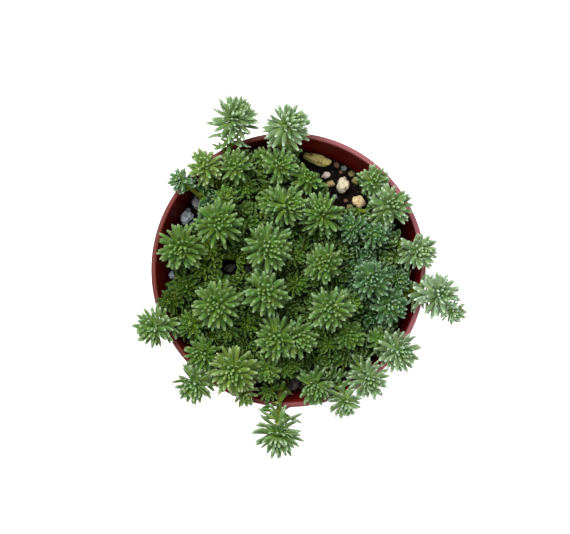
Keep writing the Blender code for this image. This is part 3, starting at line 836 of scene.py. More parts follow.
@dataclass
class SoilBed:
    """The soil: a bed that fills the pot, with an uneven top and loose grit on it."""

    pot: Pot
    below_rim: float = 17.0
    gap: float = 0.4
    roughness: float = 0.8
    lump: float = 5.0
    crumb: float = 1.6
    rings: int = 64
    steps: int = 160
    grain_apart: float = 0.8
    grain_smallest: float = 0.25
    grain_largest: float = 0.95
    most_grains: float = 4.0e6
    seed: int = 11
    mix: PottingMix = PottingMix()
    grit: Grit = Grit()

    @property
    def top(self) -> float:
        """The mean height of the soil's top."""
        return self.pot.height - self.below_rim

    def height_at(self, x: float, y: float) -> float:
        """The height of the uneven top at a place."""
        coarse = noise.noise(Vector((x / self.lump, y / self.lump, 0.0)))
        fine = noise.fractal(Vector((x / self.crumb, y / self.crumb, 7.0)), 0.9, 2.1, 4)
        return self.top + self.roughness * (0.6 * coarse + 0.3 * fine) - 0.3

    def build(self) -> None:
        """Makes the bed and the grit on it, and dresses them."""
        bed = new_piece("soil_bed", self.bed_mesh(), self.mix.make())
        hand_over(bed, "soil")
        rocks = new_forms("grit_forms", [self.rough_rock(number) for number in range(3)])
        loose = new_piece("potting_grit", self.bed_top(bed.data))
        values = {
            "Forms": rocks,
            "Apart": self.grain_apart * MM,
            "Smallest": self.grain_smallest * MM,
            "Largest": self.grain_largest * MM,
            "Seed": self.seed,
            "Finish": self.grit.make(),
        }
        grow(loose, self.grit_tree(), values)
        remove_forms(rocks)
        hand_over(loose)

    def bed_mesh(self) -> Mesh:
        """The closed bed: rings of the uneven top, then the side and the underside."""
        bottom = self.pot.base_thickness + 0.3
        widest = self.pot.inner_radius(self.top) - self.gap
        lowest = self.pot.inner_radius(bottom) - self.gap
        turns = [2 * pi * step / self.steps for step in range(self.steps)]
        bm = bmesh.new()
        middle = bm.verts.new((0.0, 0.0, self.height_at(0.0, 0.0)))
        rows = []
        for ring in range(1, self.rings + 1):
            radius = widest * ring / self.rings
            places = [(radius * cos(turn), radius * sin(turn)) for turn in turns]
            rows.append([bm.verts.new((x, y, self.height_at(x, y))) for x, y in places])
        rows.append([bm.verts.new((lowest * cos(turn), lowest * sin(turn), bottom)) for turn in turns])
        pairs = [(step, (step + 1) % self.steps) for step in range(self.steps)]
        for step, after in pairs:
            bm.faces.new((middle, rows[0][step], rows[0][after]))
        for upper, lower in zip(rows, rows[1:]):
            for step, after in pairs:
                bm.faces.new((upper[step], lower[step], lower[after], upper[after]))
        bm.faces.new(list(reversed(rows[-1])))
        mesh = mesh_of(bm, "soil_bed")
        mesh.set_sharp_from_angle(angle=radians(60.0))
        return mesh

    def bed_top(self, mesh: Mesh) -> Mesh:
        """A copy of the bed's top faces alone."""
        bm = bmesh.new()
        bm.from_mesh(mesh)
        low = (self.top - 4.0) * MM
        sides = [face for face in bm.faces if face.calc_center_median().z < low or face.normal.z < 0.3]
        bmesh.ops.delete(bm, geom=sides, context="FACES")
        return plain_mesh(bm, "bed_top")

    def rough_rock(self, number: int) -> Mesh:
        """A rough rock one unit across, with a shape for each number."""
        bm = bmesh.new()
        bmesh.ops.create_icosphere(bm, subdivisions=1, radius=0.5)
        away = Vector((number * 9.7, 3.1, 5.3))
        for vert in bm.verts:
            vert.co *= 1.0 + 0.3 * noise.noise(vert.co * 3.0 + away)
            vert.co.z *= 0.72
        return plain_mesh(bm, f"grit_{number}")

    def grit_tree(self) -> NodeTree:
        """The Geometry Nodes tree that scatters rocks of random size, turn and tone."""
        sizes = dict.fromkeys(("Apart", "Smallest", "Largest"), "Float")
        sockets = {"Forms": "Collection", **sizes, "Seed": "Int", "Finish": "Material"}
        tree = new_tree("scattered_grit", sockets)
        add = partial(add_node, tree)
        given = add("NodeGroupInput").outputs
        points = add(
            "GeometryNodeDistributePointsOnFaces",
            {
                "Mesh": given["Geometry"],
                "Distance Min": given["Apart"],
                "Density Max": self.most_grains,
                "Seed": given["Seed"],
            },
            distribute_method="POISSON",
        )
        chance = add("FunctionNodeRandomValue", {"Seed": given["Seed"]}, data_type="FLOAT")
        tone = {"Geometry": points, "Name": "tone", "Value": chance}
        toned = add("GeometryNodeStoreNamedAttribute", tone, data_type="FLOAT", domain="POINT")
        forms = {"Collection": given["Forms"], "Separate Children": True}
        pick = add("FunctionNodeRandomValue", {4: 0, 5: 2, "Seed": 3}, data_type="INT")
        any_way = {0: (0.0, 0.0, 0.0), 1: (6.28, 6.28, 6.28), "Seed": 5}
        turn = add("FunctionNodeRandomValue", any_way, data_type="FLOAT_VECTOR")
        share = add("FunctionNodeRandomValue", {"Seed": 9}, data_type="FLOAT")
        # A power keeps most grains small
        small = add("ShaderNodeMath", {0: share, 1: 2.2}, operation="POWER")
        span = {"Value": small, "To Min": given["Smallest"], "To Max": given["Largest"]}
        grains = add(
            "GeometryNodeInstanceOnPoints",
            {
                "Points": toned,
                "Instance": add("GeometryNodeCollectionInfo", forms),
                "Pick Instance": True,
                "Instance Index": pick,
                "Rotation": add("FunctionNodeEulerToRotation", {"Euler": turn}),
                "Scale": add("ShaderNodeMapRange", span),
            },
        )
        real = add("GeometryNodeRealizeInstances", {"Geometry": grains})
        dressed = add("GeometryNodeSetMaterial", {"Geometry": real, "Material": given["Finish"]})
        add("NodeGroupOutput", {"Geometry": dressed})
        return tree


@dataclass(frozen=True)
class Pebble:
    """A stone on the soil, which lies where its CAD node does: its sizes in millimetres and its turn."""

    length: float
    width: float
    height: float
    turn: float
    finish: RiverStone


@dataclass
class LooseStones:
    """The pebbles on the soil: a named one for each CAD stone, and smaller ones between them."""

    soil: SoilBed
    named: tuple[Pebble, ...] = (
        Pebble(10.2, 4.2, 3.4, 340, RiverStone("long_olive", "#D8C878", "#7E6C2E", "#EEE6BC")),
        Pebble(3.2, 2.6, 2.2, 20, RiverStone("white_north", "#F0E0D6", "#D0B0A0", "#FBF4EC", 1.2)),
        Pebble(6.8, 4.8, 3.8, 70, RiverStone("cream", "#F4E8C6", "#A5987C", "#FCF6E0", 1.8)),
        Pebble(3.0, 2.6, 2.2, 10, RiverStone("tan_north", "#BCA676", "#6B6444", "#DCCEA4", 1.2)),
        Pebble(5.2, 4.2, 3.2, 320, RiverStone("orange", "#FFE8B4", "#E2B878", "#FFF4D4", 1.6)),
        Pebble(3.8, 3.0, 2.2, 345, RiverStone("olive_small", "#8C8450", "#544C28", "#ACA474")),
        Pebble(5.6, 4.6, 3.4, 50, RiverStone("slate_west", "#BAC2C8", "#8A9298", "#DCE2E6")),
        Pebble(4.2, 3.6, 2.8, 110, RiverStone("slate_north_west", "#CCD2D6", "#9AA2A6", "#E6EAEC")),
        Pebble(4.2, 3.2, 2.6, 15, RiverStone("white_middle", "#F4F4EE", "#B8B8B0", "#FFFFFF")),
        Pebble(3.2, 2.8, 2.2, 80, RiverStone("slate_small", "#A8B4C2", "#74808E", "#CCD6E0")),
        Pebble(5.4, 4.6, 3.4, 30, RiverStone("grey_south", "#BCBEB4", "#80827A", "#DCDCD4")),
        Pebble(3.4, 3.0, 2.2, 60, RiverStone("rust", "#B07A5E", "#70463A", "#D0A68C")),
    )
    # Each small pebble's pixel, its size in millimetres and the number of its finish
    small: tuple[tuple[float, float, float, int], ...] = (
        *((337, 164, 2.2, 1), (345, 166, 2.0, 2), (352, 173, 2.4, 0), (335, 196, 2.0, 2), (350, 207, 2.6, 0)),
        *((366, 190, 2.6, 0), (341, 171, 1.5, 1), (346, 200, 1.6, 1), (197, 206, 2.4, 2), (178, 203, 1.8, 2)),
        *((192, 222, 2.0, 2), (248, 268, 2.4, 2), (311, 236, 2.6, 1), (319, 250, 2.8, 2), (244, 311, 2.2, 2)),
        *((284, 391, 2.0, 0), (301, 388, 1.8, 1), (409, 236, 2.0, 1), (161, 262, 1.8, 2), (304, 241, 1.6, 0)),
    )
    small_finishes: tuple[RiverStone, ...] = (
        RiverStone("chip_olive", "#8E8654", "#4E4826", "#B2AA7C", 0.9),
        RiverStone("chip_brown", "#7A5A48", "#3E2A20", "#A58A78", 0.9),
        RiverStone("chip_grey", "#8A8E8E", "#54585A", "#B4B8B8", 0.9),
    )

    def build(self) -> None:
        """Makes each pebble and dresses it."""
        for number, pebble in enumerate(self.named):
            node = f"stone_{pebble.finish.name}"
            mesh = self.shape(number, pebble, node)
            hand_over(new_piece(f"pebble_{pebble.finish.name}", mesh, pebble.finish.make()), node)
        hand_over(self.chips())

    def chips(self) -> Object:
        """The small pebbles, which are one piece, half sunk in the soil."""
        bm = bmesh.new()
        for number, (seen_x, seen_y, size, finish) in enumerate(self.small):
            x, y = place_seen(seen_x, seen_y, -self.soil.below_rim)
            inside = min(1.0, (self.soil.pot.inner_radius(self.soil.top) - 0.75 * size) / hypot(x, y))
            x, y = x * inside, y * inside
            made = bmesh.ops.create_icosphere(bm, subdivisions=2, radius=0.5 * size)["verts"]
            away = Vector((number * 5.1, 8.3, 2.2))
            for vert in made:
                vert.co *= 1.0 + 0.35 * noise.noise(vert.co * (1.8 / size) + away)
                vert.co.z *= 0.7
                for face in vert.link_faces:
                    face.material_index = finish
            bmesh.ops.translate(bm, vec=(x, y, self.soil.height_at(x, y) + 0.15 * size), verts=made)
        mesh = mesh_of(bm, "small_pebbles")
        for finish in self.small_finishes:
            mesh.materials.append(finish.make())
        return new_piece("small_pebbles", mesh)

    def shape(self, number: int, pebble: Pebble, node: str) -> Mesh:
        """A water-worn pebble that fills its CAD node's box and stands on its flat foot.

        Args:
            number: which pebble, for its own shape.
            pebble: its sizes.
            node: its CAD node.

        Returns:
            The mesh.
        """
        low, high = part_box(node)
        bm = bmesh.new()
        bmesh.ops.create_icosphere(bm, subdivisions=4, radius=0.5)
        away = Vector((number * 7.3, 1.7, 4.1))
        for vert in bm.verts:
            lump = 0.3 * noise.noise(vert.co * 2.4 + away) + 0.1 * noise.noise(vert.co * 7.0 + away)
            vert.co *= 1.0 + lump
            vert.co.x *= pebble.length
            vert.co.y *= pebble.width
            vert.co.z *= pebble.height * 1.4
        foot = min(vert.co.z for vert in bm.verts) + 0.3 * pebble.height
        for vert in bm.verts:
            vert.co.z = max(vert.co.z, foot)
        bmesh.ops.rotate(bm, verts=bm.verts, matrix=Matrix.Rotation(radians(pebble.turn), 3, "Z"))
        for axis in range(3):
            least = min(vert.co[axis] for vert in bm.verts)
            most = max(vert.co[axis] for vert in bm.verts)
            scale = (high[axis] - low[axis]) / MM / (most - least)
            for vert in bm.verts:
                vert.co[axis] = low[axis] / MM + (vert.co[axis] - least) * scale
        return mesh_of(bm, node)


class Bend(Enum):
    """The ways that leaves bend, by their place in the collection of forms."""

    BUD = 0
    INCURVED = 1
    STRAIGHT = 2
    ARCHED = 3


@dataclass(frozen=True)
class LeafForm:
    """One way that a leaf bends: how far its middle line curls up at its tip and sags before it."""

    bend: Bend
    curl: float
    sag: float
    thickness: float = 0.11
    sides: int = 6
    # How far along each ring is, and its share of the width and of the thickness
    stations: tuple[Triple, ...] = (
        (0.0, 0.55, 0.80),
        (0.30, 0.88, 1.0),
        (0.62, 1.0, 0.98),
        (0.85, 0.80, 0.78),
        (0.965, 0.44, 0.42),
    )

    def height_at(self, along: float) -> float:
        """How high the middle line is at a share of the leaf's length."""
        return self.curl * along**2.4 - self.sag * sin(pi * along)

    def mesh(self) -> Mesh:
        """A leaf one unit long and one unit wide, from the origin along X, its upper face up."""
        bm = bmesh.new()
        turns = [2 * pi * side / self.sides for side in range(self.sides)]
        rows = []
        for place, width, depth in self.stations:
            middle, thick = self.height_at(place), self.thickness * depth
            # The upper face is flatter than the under one
            heights = [middle + thick * (0.4 if sin(turn) > 0 else 0.7) * sin(turn) for turn in turns]
            spots = [(place, 0.5 * width * cos(turn), height) for turn, height in zip(turns, heights)]
            rows.append([bm.verts.new(spot) for spot in spots])
        tip = bm.verts.new((1.0, 0.0, self.height_at(1.0)))
        bm.faces.new(list(reversed(rows[0])))
        for lower, upper in zip(rows, rows[1:]):
            for side in range(self.sides):
                after = (side + 1) % self.sides
                bm.faces.new((lower[side], lower[after], upper[after], upper[side]))
        for side in range(self.sides):
            bm.faces.new((rows[-1][side], rows[-1][(side + 1) % self.sides], tip))
        bmesh.ops.recalc_face_normals(bm, faces=bm.faces)
        mesh = plain_mesh(bm, f"leaf_{self.bend.value}_{self.bend.name.lower()}")
        mesh.shade_smooth()
        along = [station[0] for station in self.stations for _ in turns]
        add_attribute(mesh, "along", "FLOAT", along + [1.0])
        add_attribute(mesh, "edge", "FLOAT", [cos(turn) ** 2 for turn in turns] * len(rows) + [1.0])
        return mesh


LEAF_FORMS = (
    LeafForm(Bend.BUD, 0.10, 0.05, thickness=0.26),
    LeafForm(Bend.INCURVED, 0.19, 0.06),
    LeafForm(Bend.STRAIGHT, 0.05, 0.03),
    LeafForm(Bend.ARCHED, -0.06, -0.02),
)


class LeafPlan(NamedTuple):
    """What a leaf is meant to be, in millimetres and radians, before it is fitted in."""

    depth: float
    tilt: float
    length: float
    width: float
    bend: Bend
    age: float
    dry: float = 0.0


class Leaf(NamedTuple):
    """One leaf on a stem: where it is, its directions, its sizes and what its skin reads."""

    root: np.ndarray
    direction: np.ndarray
    upper: np.ndarray
    length: float
    width: float
    bend: Bend
    tone: float
    age: float
    dry: float

    def balls(self) -> list[Ball]:
        """Balls along the leaf's outer part, for telling whether it runs through a neighbour."""
        swell = max(0.28, 0.27 * self.width)
        spots = [self.root + self.direction * self.length * share for share in (0.42, 0.6, 0.78, 0.93)]
        return [(float(x), float(y), float(z), swell) for x, y, z in spots]

    def turn(self) -> Triple:
        """The leaf's turn as Euler angles: its length is X and its upper face is Z."""
        across = np.cross(self.upper, self.direction)
        return tuple(Matrix([self.direction, across, self.upper]).transposed().to_euler("XYZ"))


@dataclass
class Room:
    pot: Pot
    soil_top: float
    cube: float = 2.6
    # Pixels and radii of the places where the photograph shows the soil, the stones or the wall
    bare_seen: tuple[Triple, ...] = (
        *((316, 158, 15), (338, 172, 19), (345, 192, 17), (360, 202, 9), (357, 163, 10), (186, 213, 13)),
        *((194, 198, 9), (169, 275, 7), (230, 267, 8.5), (248, 268, 5), (295, 386, 8), (408, 234, 8)),
        (416, 276, 7),
    )
    bare_above_rim: float = 14.0
    cubes: dict[tuple[int, ...], list[tuple[float, float, float, float, int]]] = field(default_factory=dict)

    def add(self, balls: Sequence[Ball], owner: int) -> None:
        """Takes up room with the balls of a shoot, given its number."""
        for ball in balls:
            key = tuple(int(value // self.cube) for value in ball[:3])
            self.cubes.setdefault(key, []).append((*ball, owner))

    def is_free(self, balls: Sequence[Ball], owner: int) -> bool:
        """Whether the balls of a shoot are clear of the pot, the soil and every other shoot."""
        return not any(
            self.in_pot(*ball) or self.in_bare(*ball[:3]) or self.in_other(*ball, owner) for ball in balls
        )

    def in_bare(self, x: float, y: float, z: float) -> bool:
        """Whether a low point is over a place that stays bare."""
        above = z - self.pot.height
        if above > self.bare_above_rim:
            return False
        pixel = place_seen(SEEN_CENTRE[0] + 1.0, SEEN_CENTRE[1], above)[0]
        seen_x, seen_y = SEEN_CENTRE[0] + x / pixel, SEEN_CENTRE[1] - y / pixel
        return any(hypot(seen_x - bx, seen_y - by) < radius for bx, by, radius in self.bare_seen)

    def in_pot(self, x: float, y: float, z: float, radius: float) -> bool:
        """Whether a ball runs into the pot's wall or the soil."""
        out = hypot(x, y)
        if z < self.soil_top + radius and out < self.pot.rim_radius:
            return True
        if z > self.pot.height + radius:
            return False
        return self.pot.inner_radius(z) - radius < out < self.pot.outer_radius(z) + radius

    def in_other(self, x: float, y: float, z: float, radius: float, owner: int) -> bool:
        """Whether a ball runs into another shoot's."""
        near = [int(value // self.cube) for value in (x, y, z)]
        for key in product(*(range(middle - 1, middle + 2) for middle in near)):
            for bx, by, bz, other, whose in self.cubes.get(key, ()):
                reach = radius + other
                if whose != owner and (x - bx) ** 2 + (y - by) ** 2 + (z - bz) ** 2 < reach * reach:
                    return True
        return False


@dataclass
class Shoot:
    """One stem or branch: its middle line and the leaves down it, in millimetres."""

    tip: np.ndarray
    axis: np.ndarray
    reach: float
    start: np.ndarray
    rise: np.ndarray
    radius: float
    below: float
    number: int
    leaves: list[Leaf] = field(default_factory=list)

    fine: int = 40
    tip_pull: float = 0.3
    core_radius: float = 0.85
    bud_radius: float = 0.4
    stoop_share: float = 0.35
    leaf_width: float = 1.62
    head_depth: float = 0.3
    leaves_per_reach: float = 7.0
    bud_share: float = 0.24
    # The tilt in degrees of the innermost leaf and how much more the outermost has
    bud_tilt: float = 5.0
    more_tilt: float = 96.0
    bud_length: float = 0.34
    bud_width: float = 0.76
    incurved: float = 0.4
    full_reach: float = 7.0
    tilt_chance: float = 9.0
    length_chance: Pair = (0.86, 1.08)
    width_chance: Pair = (0.9, 1.08)
    # The length of stem over which the older leaves dwindle, and how their tilt changes down it
    fade_length: float = 24.0
    lower_tilt: float = 100.0
    lower_tilt_loss: float = 30.0
    lower_tilt_chance: float = 16.0
    # The millimetres of stem between older leaves, and how much more there is by the soil
    spacing: float = 0.48
    more_spacing: float = 0.66
    # From which share down leaves may wither, how many do, and how they shrink
    dry_from: float = 0.3
    dry_chance: float = 0.25
    dry_shorter: float = 0.35
    dry_narrower: float = 0.5
    # In the open, outside the rim, leaves last longer on the stem
    open_spacing: float = 0.66
    shortest_lower: float = 3.2
    bare_foot: float = 5.0
    # How much older the shoot's leaves are painted, which also stands in for painted shade
    age: float = 0.0
    # What a leaf tries in turn until it is clear: a swing in degrees and a share of its length
    tries: tuple[Pair, ...] = ((0, 1), (-10, 1), (10, 1), (-20, 0.95), (18, 0.85), (-28, 0.8))

    def __post_init__(self) -> None:
        """Works out the middle line, with the same curve as the CAD stem."""
        back = self.tip_pull * length_of(self.tip - self.start)
        controls = (self.start, self.start + self.rise, self.tip - self.axis * back, self.tip)
        points = []
        for index in range(self.fine + 1):
            t = index / self.fine
            weights = ((1 - t) ** 3, 3 * t * (1 - t) ** 2, 3 * t * t * (1 - t), t**3)
            points.append(sum(w * p for w, p in zip(weights, controls)))
        self.line = np.array(points)
        steps = np.linalg.norm(np.diff(self.line, axis=0), axis=1)
        self.along = np.concatenate(([0.0], np.cumsum(steps)))
        self.length = float(self.along[-1])

    def at(self, depth: float) -> tuple[np.ndarray, np.ndarray]:
        """The centre and direction of the stem this far below its tip."""
        along = min(max(0.0, self.length - depth), self.length)
        index = min(int(np.searchsorted(self.along, along, side="right")) - 1, self.fine - 1)
        step = self.line[index + 1] - self.line[index]
        share = (along - self.along[index]) / (self.along[index + 1] - self.along[index])
        return self.line[index] + step * share, unit(step)

    def radius_at(self, depth: float) -> float:
        """The stem's radius this far below its tip."""
        deep = min(self.head_depth * self.reach, 0.9 * self.length)
        if depth < deep:
            return self.bud_radius + (self.core_radius - self.bud_radius) * depth / deep
        return self.core_radius + (self.radius - self.core_radius) * (depth - deep) / (self.length - deep)

    def balls(self) -> list[Ball]:
        """Balls along the stem, which other shoots' leaves keep clear of."""
        return [(float(x), float(y), float(z), self.core_radius) for x, y, z in self.line]

    def grow_head(self, rng: Random, room: Room) -> None:
        """Grows the head's leaves, from the bud down, where the room has a place for them.

        Args:
            rng: the seeded source of chance.
            room: the room that is taken so far.
        """
        self.phase = rng.uniform(0.0, 2 * pi)
        widest = self.leaf_width * (0.7 + 0.3 * min(1.0, self.reach / self.full_reach))
        count = round(self.leaves_per_reach * self.reach)
        deep = 0.9 + self.head_depth * self.reach
        for index in range(count):
            share = (index + 0.5) / count
            chance = rng.uniform(-self.tilt_chance, self.tilt_chance)
            tilt = radians(self.bud_tilt + self.more_tilt * share**0.72 + chance)
            full = self.bud_length + (1 - self.bud_length) * share**0.45
            length = self.reach * full * rng.uniform(*self.length_chance)
            wide = self.bud_width + (1 - self.bud_width) * share
            width = widest * wide * rng.uniform(*self.width_chance)
            curled = share < self.incurved or rng.random() < self.incurved
            bend = Bend.INCURVED if curled else Bend.STRAIGHT
            if share < self.bud_share:
                bend = Bend.BUD
            age = min(1.0, self.age + 0.75 * share)
            plan = LeafPlan(0.4 + deep * share**1.15, tilt, length, width, bend, age)
            self.try_leaf(rng, room, index, plan)

    def grow_lower(self, rng: Random, room: Room) -> None:
        """Grows the older leaves down the stem, shorter and further apart towards the soil.

        Args:
            rng: the seeded source of chance.
            room: the room that is taken so far.
        """
        head = 1.6 + self.head_depth * self.reach
        closer = self.open_spacing if hypot(*self.tip[:2]) > Pot.rim_radius - 3.0 else 1.0
        index, depth = 100, head
        while depth < self.length - self.bare_foot:
            share = min(1.0, (depth - head) / self.fade_length)
            chance = rng.uniform(-self.lower_tilt_chance, self.lower_tilt_chance)
            tilt = radians(self.lower_tilt - self.lower_tilt_loss * share + chance)
            length = max(self.shortest_lower, self.reach * (0.96 - 0.42 * share)) * rng.uniform(0.82, 1.1)
            width = self.leaf_width * rng.uniform(0.8, 1.0)
            bend = rng.choice((Bend.STRAIGHT, Bend.ARCHED))
            dry = 1.0 if share > self.dry_from and rng.random() < self.dry_chance * share else 0.0
            length *= 1.0 - self.dry_shorter * dry
            width *= 1.0 - self.dry_narrower * dry
            # Leaves down the stem are painted older and darker, partly as painted shade
            plan = LeafPlan(depth, tilt, length, width, bend, 0.6 + 0.4 * share, dry)
            self.try_leaf(rng, room, index, plan)
            index += 1
            depth += (self.spacing + self.more_spacing * share) * closer

    def try_leaf(self, rng: Random, room: Room, index: int, plan: LeafPlan) -> None:
        """Adds one leaf, bent or shortened until it is clear, or leaves it out.

        Args:
            rng: the seeded source of chance.
            room: the room that is taken so far.
            index: its place in the spiral.
            plan: what it is meant to be.
        """
        azimuth = self.phase + index * GOLDEN_ANGLE + radians(rng.uniform(-11.0, 11.0))
        tone = rng.random()
        roll = radians(rng.uniform(-20.0, 20.0))
        for swing, cut in self.tries:
            tried = plan._replace(tilt=plan.tilt + radians(swing), length=plan.length * cut)
            leaf = self.leaf(tried, azimuth, roll, tone)
            if room.is_free(leaf.balls(), self.number):
                room.add(leaf.balls(), self.number)
                self.leaves.append(leaf)
                return

    def leaf(self, plan: LeafPlan, azimuth: float, roll: float, tone: float) -> Leaf:
        """Places one leaf.

        Args:
            plan: what it is meant to be.
            azimuth: the way that it points round the stem.
            roll: its turn about its own length.
            tone: its own shade, from 0 to 1.

        Returns:
            The leaf.
        """
        centre, axis = self.at(plan.depth)
        side = unit(np.cross(axis, np.array((0.31, 0.95, 0.05))))
        around = side * cos(azimuth) + np.cross(axis, side) * sin(azimuth)
        direction = axis * cos(plan.tilt) + around * sin(plan.tilt)
        flat = axis * sin(plan.tilt) - around * cos(plan.tilt)
        upper = flat * cos(roll) + np.cross(direction, flat) * sin(roll)
        root = centre + around * self.radius_at(plan.depth) * 0.6
        return Leaf(root, direction, upper, plan.length, plan.width, plan.bend, tone, plan.age, plan.dry)


@dataclass
class Plants:
    """All the leafy stems that stand in the soil."""

    pot: Pot
    soil: SoilBed
    stem_radius: float = 1.0
    branch_radius: float = 0.85
    offset_radius: float = 0.6
    offset_reach: Pair = (4.6, 6.2)
    hole_depth: float = 10.7
    root_pull: float = 0.92
    other_root_pulls: dict[int, float] = field(default_factory=lambda: {4: 0.7, 13: 0.92})
    most_root_radius: float = 34.5
    root_turns: dict[int, float] = field(default_factory=lambda: {1: radians(17.0)})
    # How much of its length a stem keeps upright, and a branch keeps along its stem
    upright_share: float = 0.55
    along_share: float = 0.3
    fork_drop: float = 0.95
    lowest_fork: float = 0.15
    highest_fork: float = 0.55
    gap_apart: float = 3.6
    gap_heights: tuple[float, ...] = (18.0, 15.0, 12.0, 9.0, 6.5)
    gap_ball: float = 2.0
    gap_longest: float = 15.0
    first_offset: int = 1000
    # Painted light on the leaves: brighter and paler high up, outside the rim and towards +X, darker deep in
    # the tangle
    sunny_height: float = 42.0
    shady_radius: float = 31.0
    sunny_radius: float = 47.0
    sunny_side: float = 0.16
    light_high_up: float = 0.62
    light_outside: float = 0.48
    deepest_shade: float = 0.6
    # Painted shade for the stems that grow under others: how much less light their leaves are painted with,
    # which also gives them the darker green of older leaves
    in_shade: dict[int, float] = field(
        default_factory=lambda: {35: 0.9, 32: 0.16, 31: 0.12, 33: 0.1, 21: 0.18, 22: 0.24, 25: 0.1, 38: 0.1}
    )
    corky_length: float = 34.0
    stem_sides: int = 8
    seed: int = 21

    def build(self) -> None:
        """Grows every stem, turns each to one mesh and dresses it."""
        plants = self.grown()
        forms = new_forms("leaf_forms", [form.mesh() for form in LEAF_FORMS])
        tree = self.stem_tree()
        values = {"Leaf Forms": forms, "Stem Sides": self.stem_sides, "Stem Bark": StemBark().make()}
        skins = {skin.green: skin.make() for skin in LEAF_SKINS}
        for number, shoots in enumerate(plants, 1):
            green = STEM_GREENS.get(number, Green.MID)
            points = self.skeleton(shoots, self.in_shade.get(number, 0.0))
            piece = new_piece(f"joshua_stem_{number:02d}", points)
            grow(piece, tree, {**values, "Leaf Skin": skins[green]})
            for spare in ("turn", "size", "girth", "form", "is_leaf"):
                if spare in piece.data.attributes:
                    piece.data.attributes.remove(piece.data.attributes[spare])
            hand_over(piece, f"leafy_stem_{number:02d}")
        remove_forms(forms)

    def grown(self) -> list[list[Shoot]]:
        """Grows the shoots of every stem, the highest heads first, and gives them by stem."""
        rng = Random(self.seed)
        plants: list[list[Shoot]] = []
        for number, heads in enumerate(STEMS, 1):
            plants.append(self.fork(number, heads, sum(len(plant) for plant in plants)))
        shoots = [shoot for plant in plants for shoot in plant]
        room = Room(self.pot, self.soil.top)
        for shoot in shoots:
            room.add(shoot.balls(), shoot.number)
        for shoot in sorted(shoots, key=lambda shoot: -shoot.tip[2]):
            shoot.grow_head(rng, room)
        offsets = self.offsets(plants, rng, room)
        for shoot in offsets:
            shoot.grow_head(rng, room)
        for shoot in shoots + offsets:
            shoot.grow_lower(rng, room)
        total = sum(len(shoot.leaves) for shoot in shoots + offsets)
        LOG.info("%d leaves on %d heads and %d offsets", total, len(shoots), len(offsets))
        return plants

    def offsets(self, plants: list[list[Shoot]], rng: Random, room: Room) -> list[Shoot]:
        """Adds short side shoots in the gaps between the heads, each from the nearest stem.

        Args:
            plants: the shoots of each stem, to which the new ones are added.
            rng: the seeded source of chance.
            room: the room that is taken so far.

        Returns:
            The new shoots.
        """
        made: list[Shoot] = []
        for x, y in self.gap_places(rng):
            for height in self.gap_heights:
                tip = np.array((x, y, self.soil.top + height + rng.uniform(-1.0, 1.0)))
                number = self.first_offset + len(made)
                ball = (x, y, float(tip[2]), self.gap_ball)
                if not room.is_free([ball], number):
                    continue
                new, plant = self.side_shoot(plants, tip, number, rng)
                if new:
                    room.add([ball] + new.balls()[10:], number)
                    made.append(new)
                    plant.append(new)
                break
        return made

    def gap_places(self, rng: Random) -> list[Pair]:
        """Places on a jittered grid inside the pot, in random order."""
        reach = self.pot.inner_radius(self.soil.top) - 3.0
        count = int(reach / self.gap_apart) + 1
        places = []
        for row in range(-count, count + 1):
            for column in range(-count, count + 1):
                x = (column + 0.5 * (row % 2) + rng.uniform(-0.25, 0.25)) * self.gap_apart
                y = (0.87 * row + rng.uniform(-0.25, 0.25)) * self.gap_apart
                if hypot(x, y) < reach:
                    places.append((x, y))
        rng.shuffle(places)
        return places

    def side_shoot(
        self, plants: list[list[Shoot]], tip: np.ndarray, number: int, rng: Random
    ) -> tuple[Shoot | None, list[Shoot]]:
        """A side shoot to a tip from the nearest stem below it.

        Args:
            plants: the shoots of each stem.
            tip: the new shoot's tip.
            number: the new shoot's number.
            rng: the seeded source of chance.

        Returns:
            The shoot, or None where no stem is near, and the plant that it belongs to.
        """
        best, nearest, owner = None, self.gap_longest, plants[0]
        for plant in plants:
            for shoot in plant:
                for point in shoot.line[2:-6:2] if shoot.number < self.first_offset else ():
                    away = tip - point
                    apart = length_of(away)
                    if apart < nearest and away[2] > 0.25 * hypot(away[0], away[1]) + 0.5:
                        best, nearest, owner = point, apart, plant
        if best is None:
            return None, owner
        out = (tip - best) * np.array((1.0, 1.0, 0.0))
        axis = unit(out * 0.03 + np.array((0.0, 0.0, 1.0)))
        # Side shoots in the gaps are painted older and darker, partly as painted shade
        looks = {"leaf_width": 2.3, "leaves_per_reach": 6.0, "incurved": 0.0, "age": 0.5}
        reach = rng.uniform(*self.offset_reach)
        return Shoot(tip, axis, reach, best, out * 0.5, self.offset_radius, 0.0, number, **looks), owner

    def fork(self, number: int, heads: Sequence[Head], first: int) -> list[Shoot]:
        """The shoots of one stem: the first goes into the soil, and the others branch from it.

        Args:
            number: the stem's number.
            heads: its heads.
            first: the number of its first shoot.

        Returns:
            The shoots.
        """
        tip, axis, reach = heads[0].tip(), heads[0].axis(), heads[0].reach
        root = self.root_of(number, tip)
        # A stem under others also takes its painted shade as older, darker leaves
        age = self.in_shade.get(number, 0.0)
        rise = np.array((0.0, 0.0, self.upright_share * (tip[2] - self.soil.top)))
        main = Shoot(tip, axis, reach, root, rise, self.stem_radius, self.hole_depth, first, age=age)
        shoots = [main]
        for step, head in enumerate(heads[1:], 1):
            end = head.tip()
            start, along = main.at(main.length * (1.0 - self.fork_share(tip, end)))
            rise = along * self.along_share * length_of(end - start)
            branch = (end, head.axis(), head.reach, start, rise, self.branch_radius, 0.0, first + step)
            shoots.append(Shoot(*branch, age=age))
        return shoots

    def root_of(self, number: int, tip: np.ndarray) -> np.ndarray:
        """Where a stem leaves the soil: nearer the pot's axis than its tip, and turned about it on one."""
        out = hypot(tip[0], tip[1])
        most = min(self.root_pull, self.most_root_radius / max(1.0, out))
        pull = self.other_root_pulls.get(number, most)
        angle = atan2(tip[1], tip[0]) + self.root_turns.get(number, 0.0)
        return np.array((out * pull * cos(angle), out * pull * sin(angle), self.soil.top))

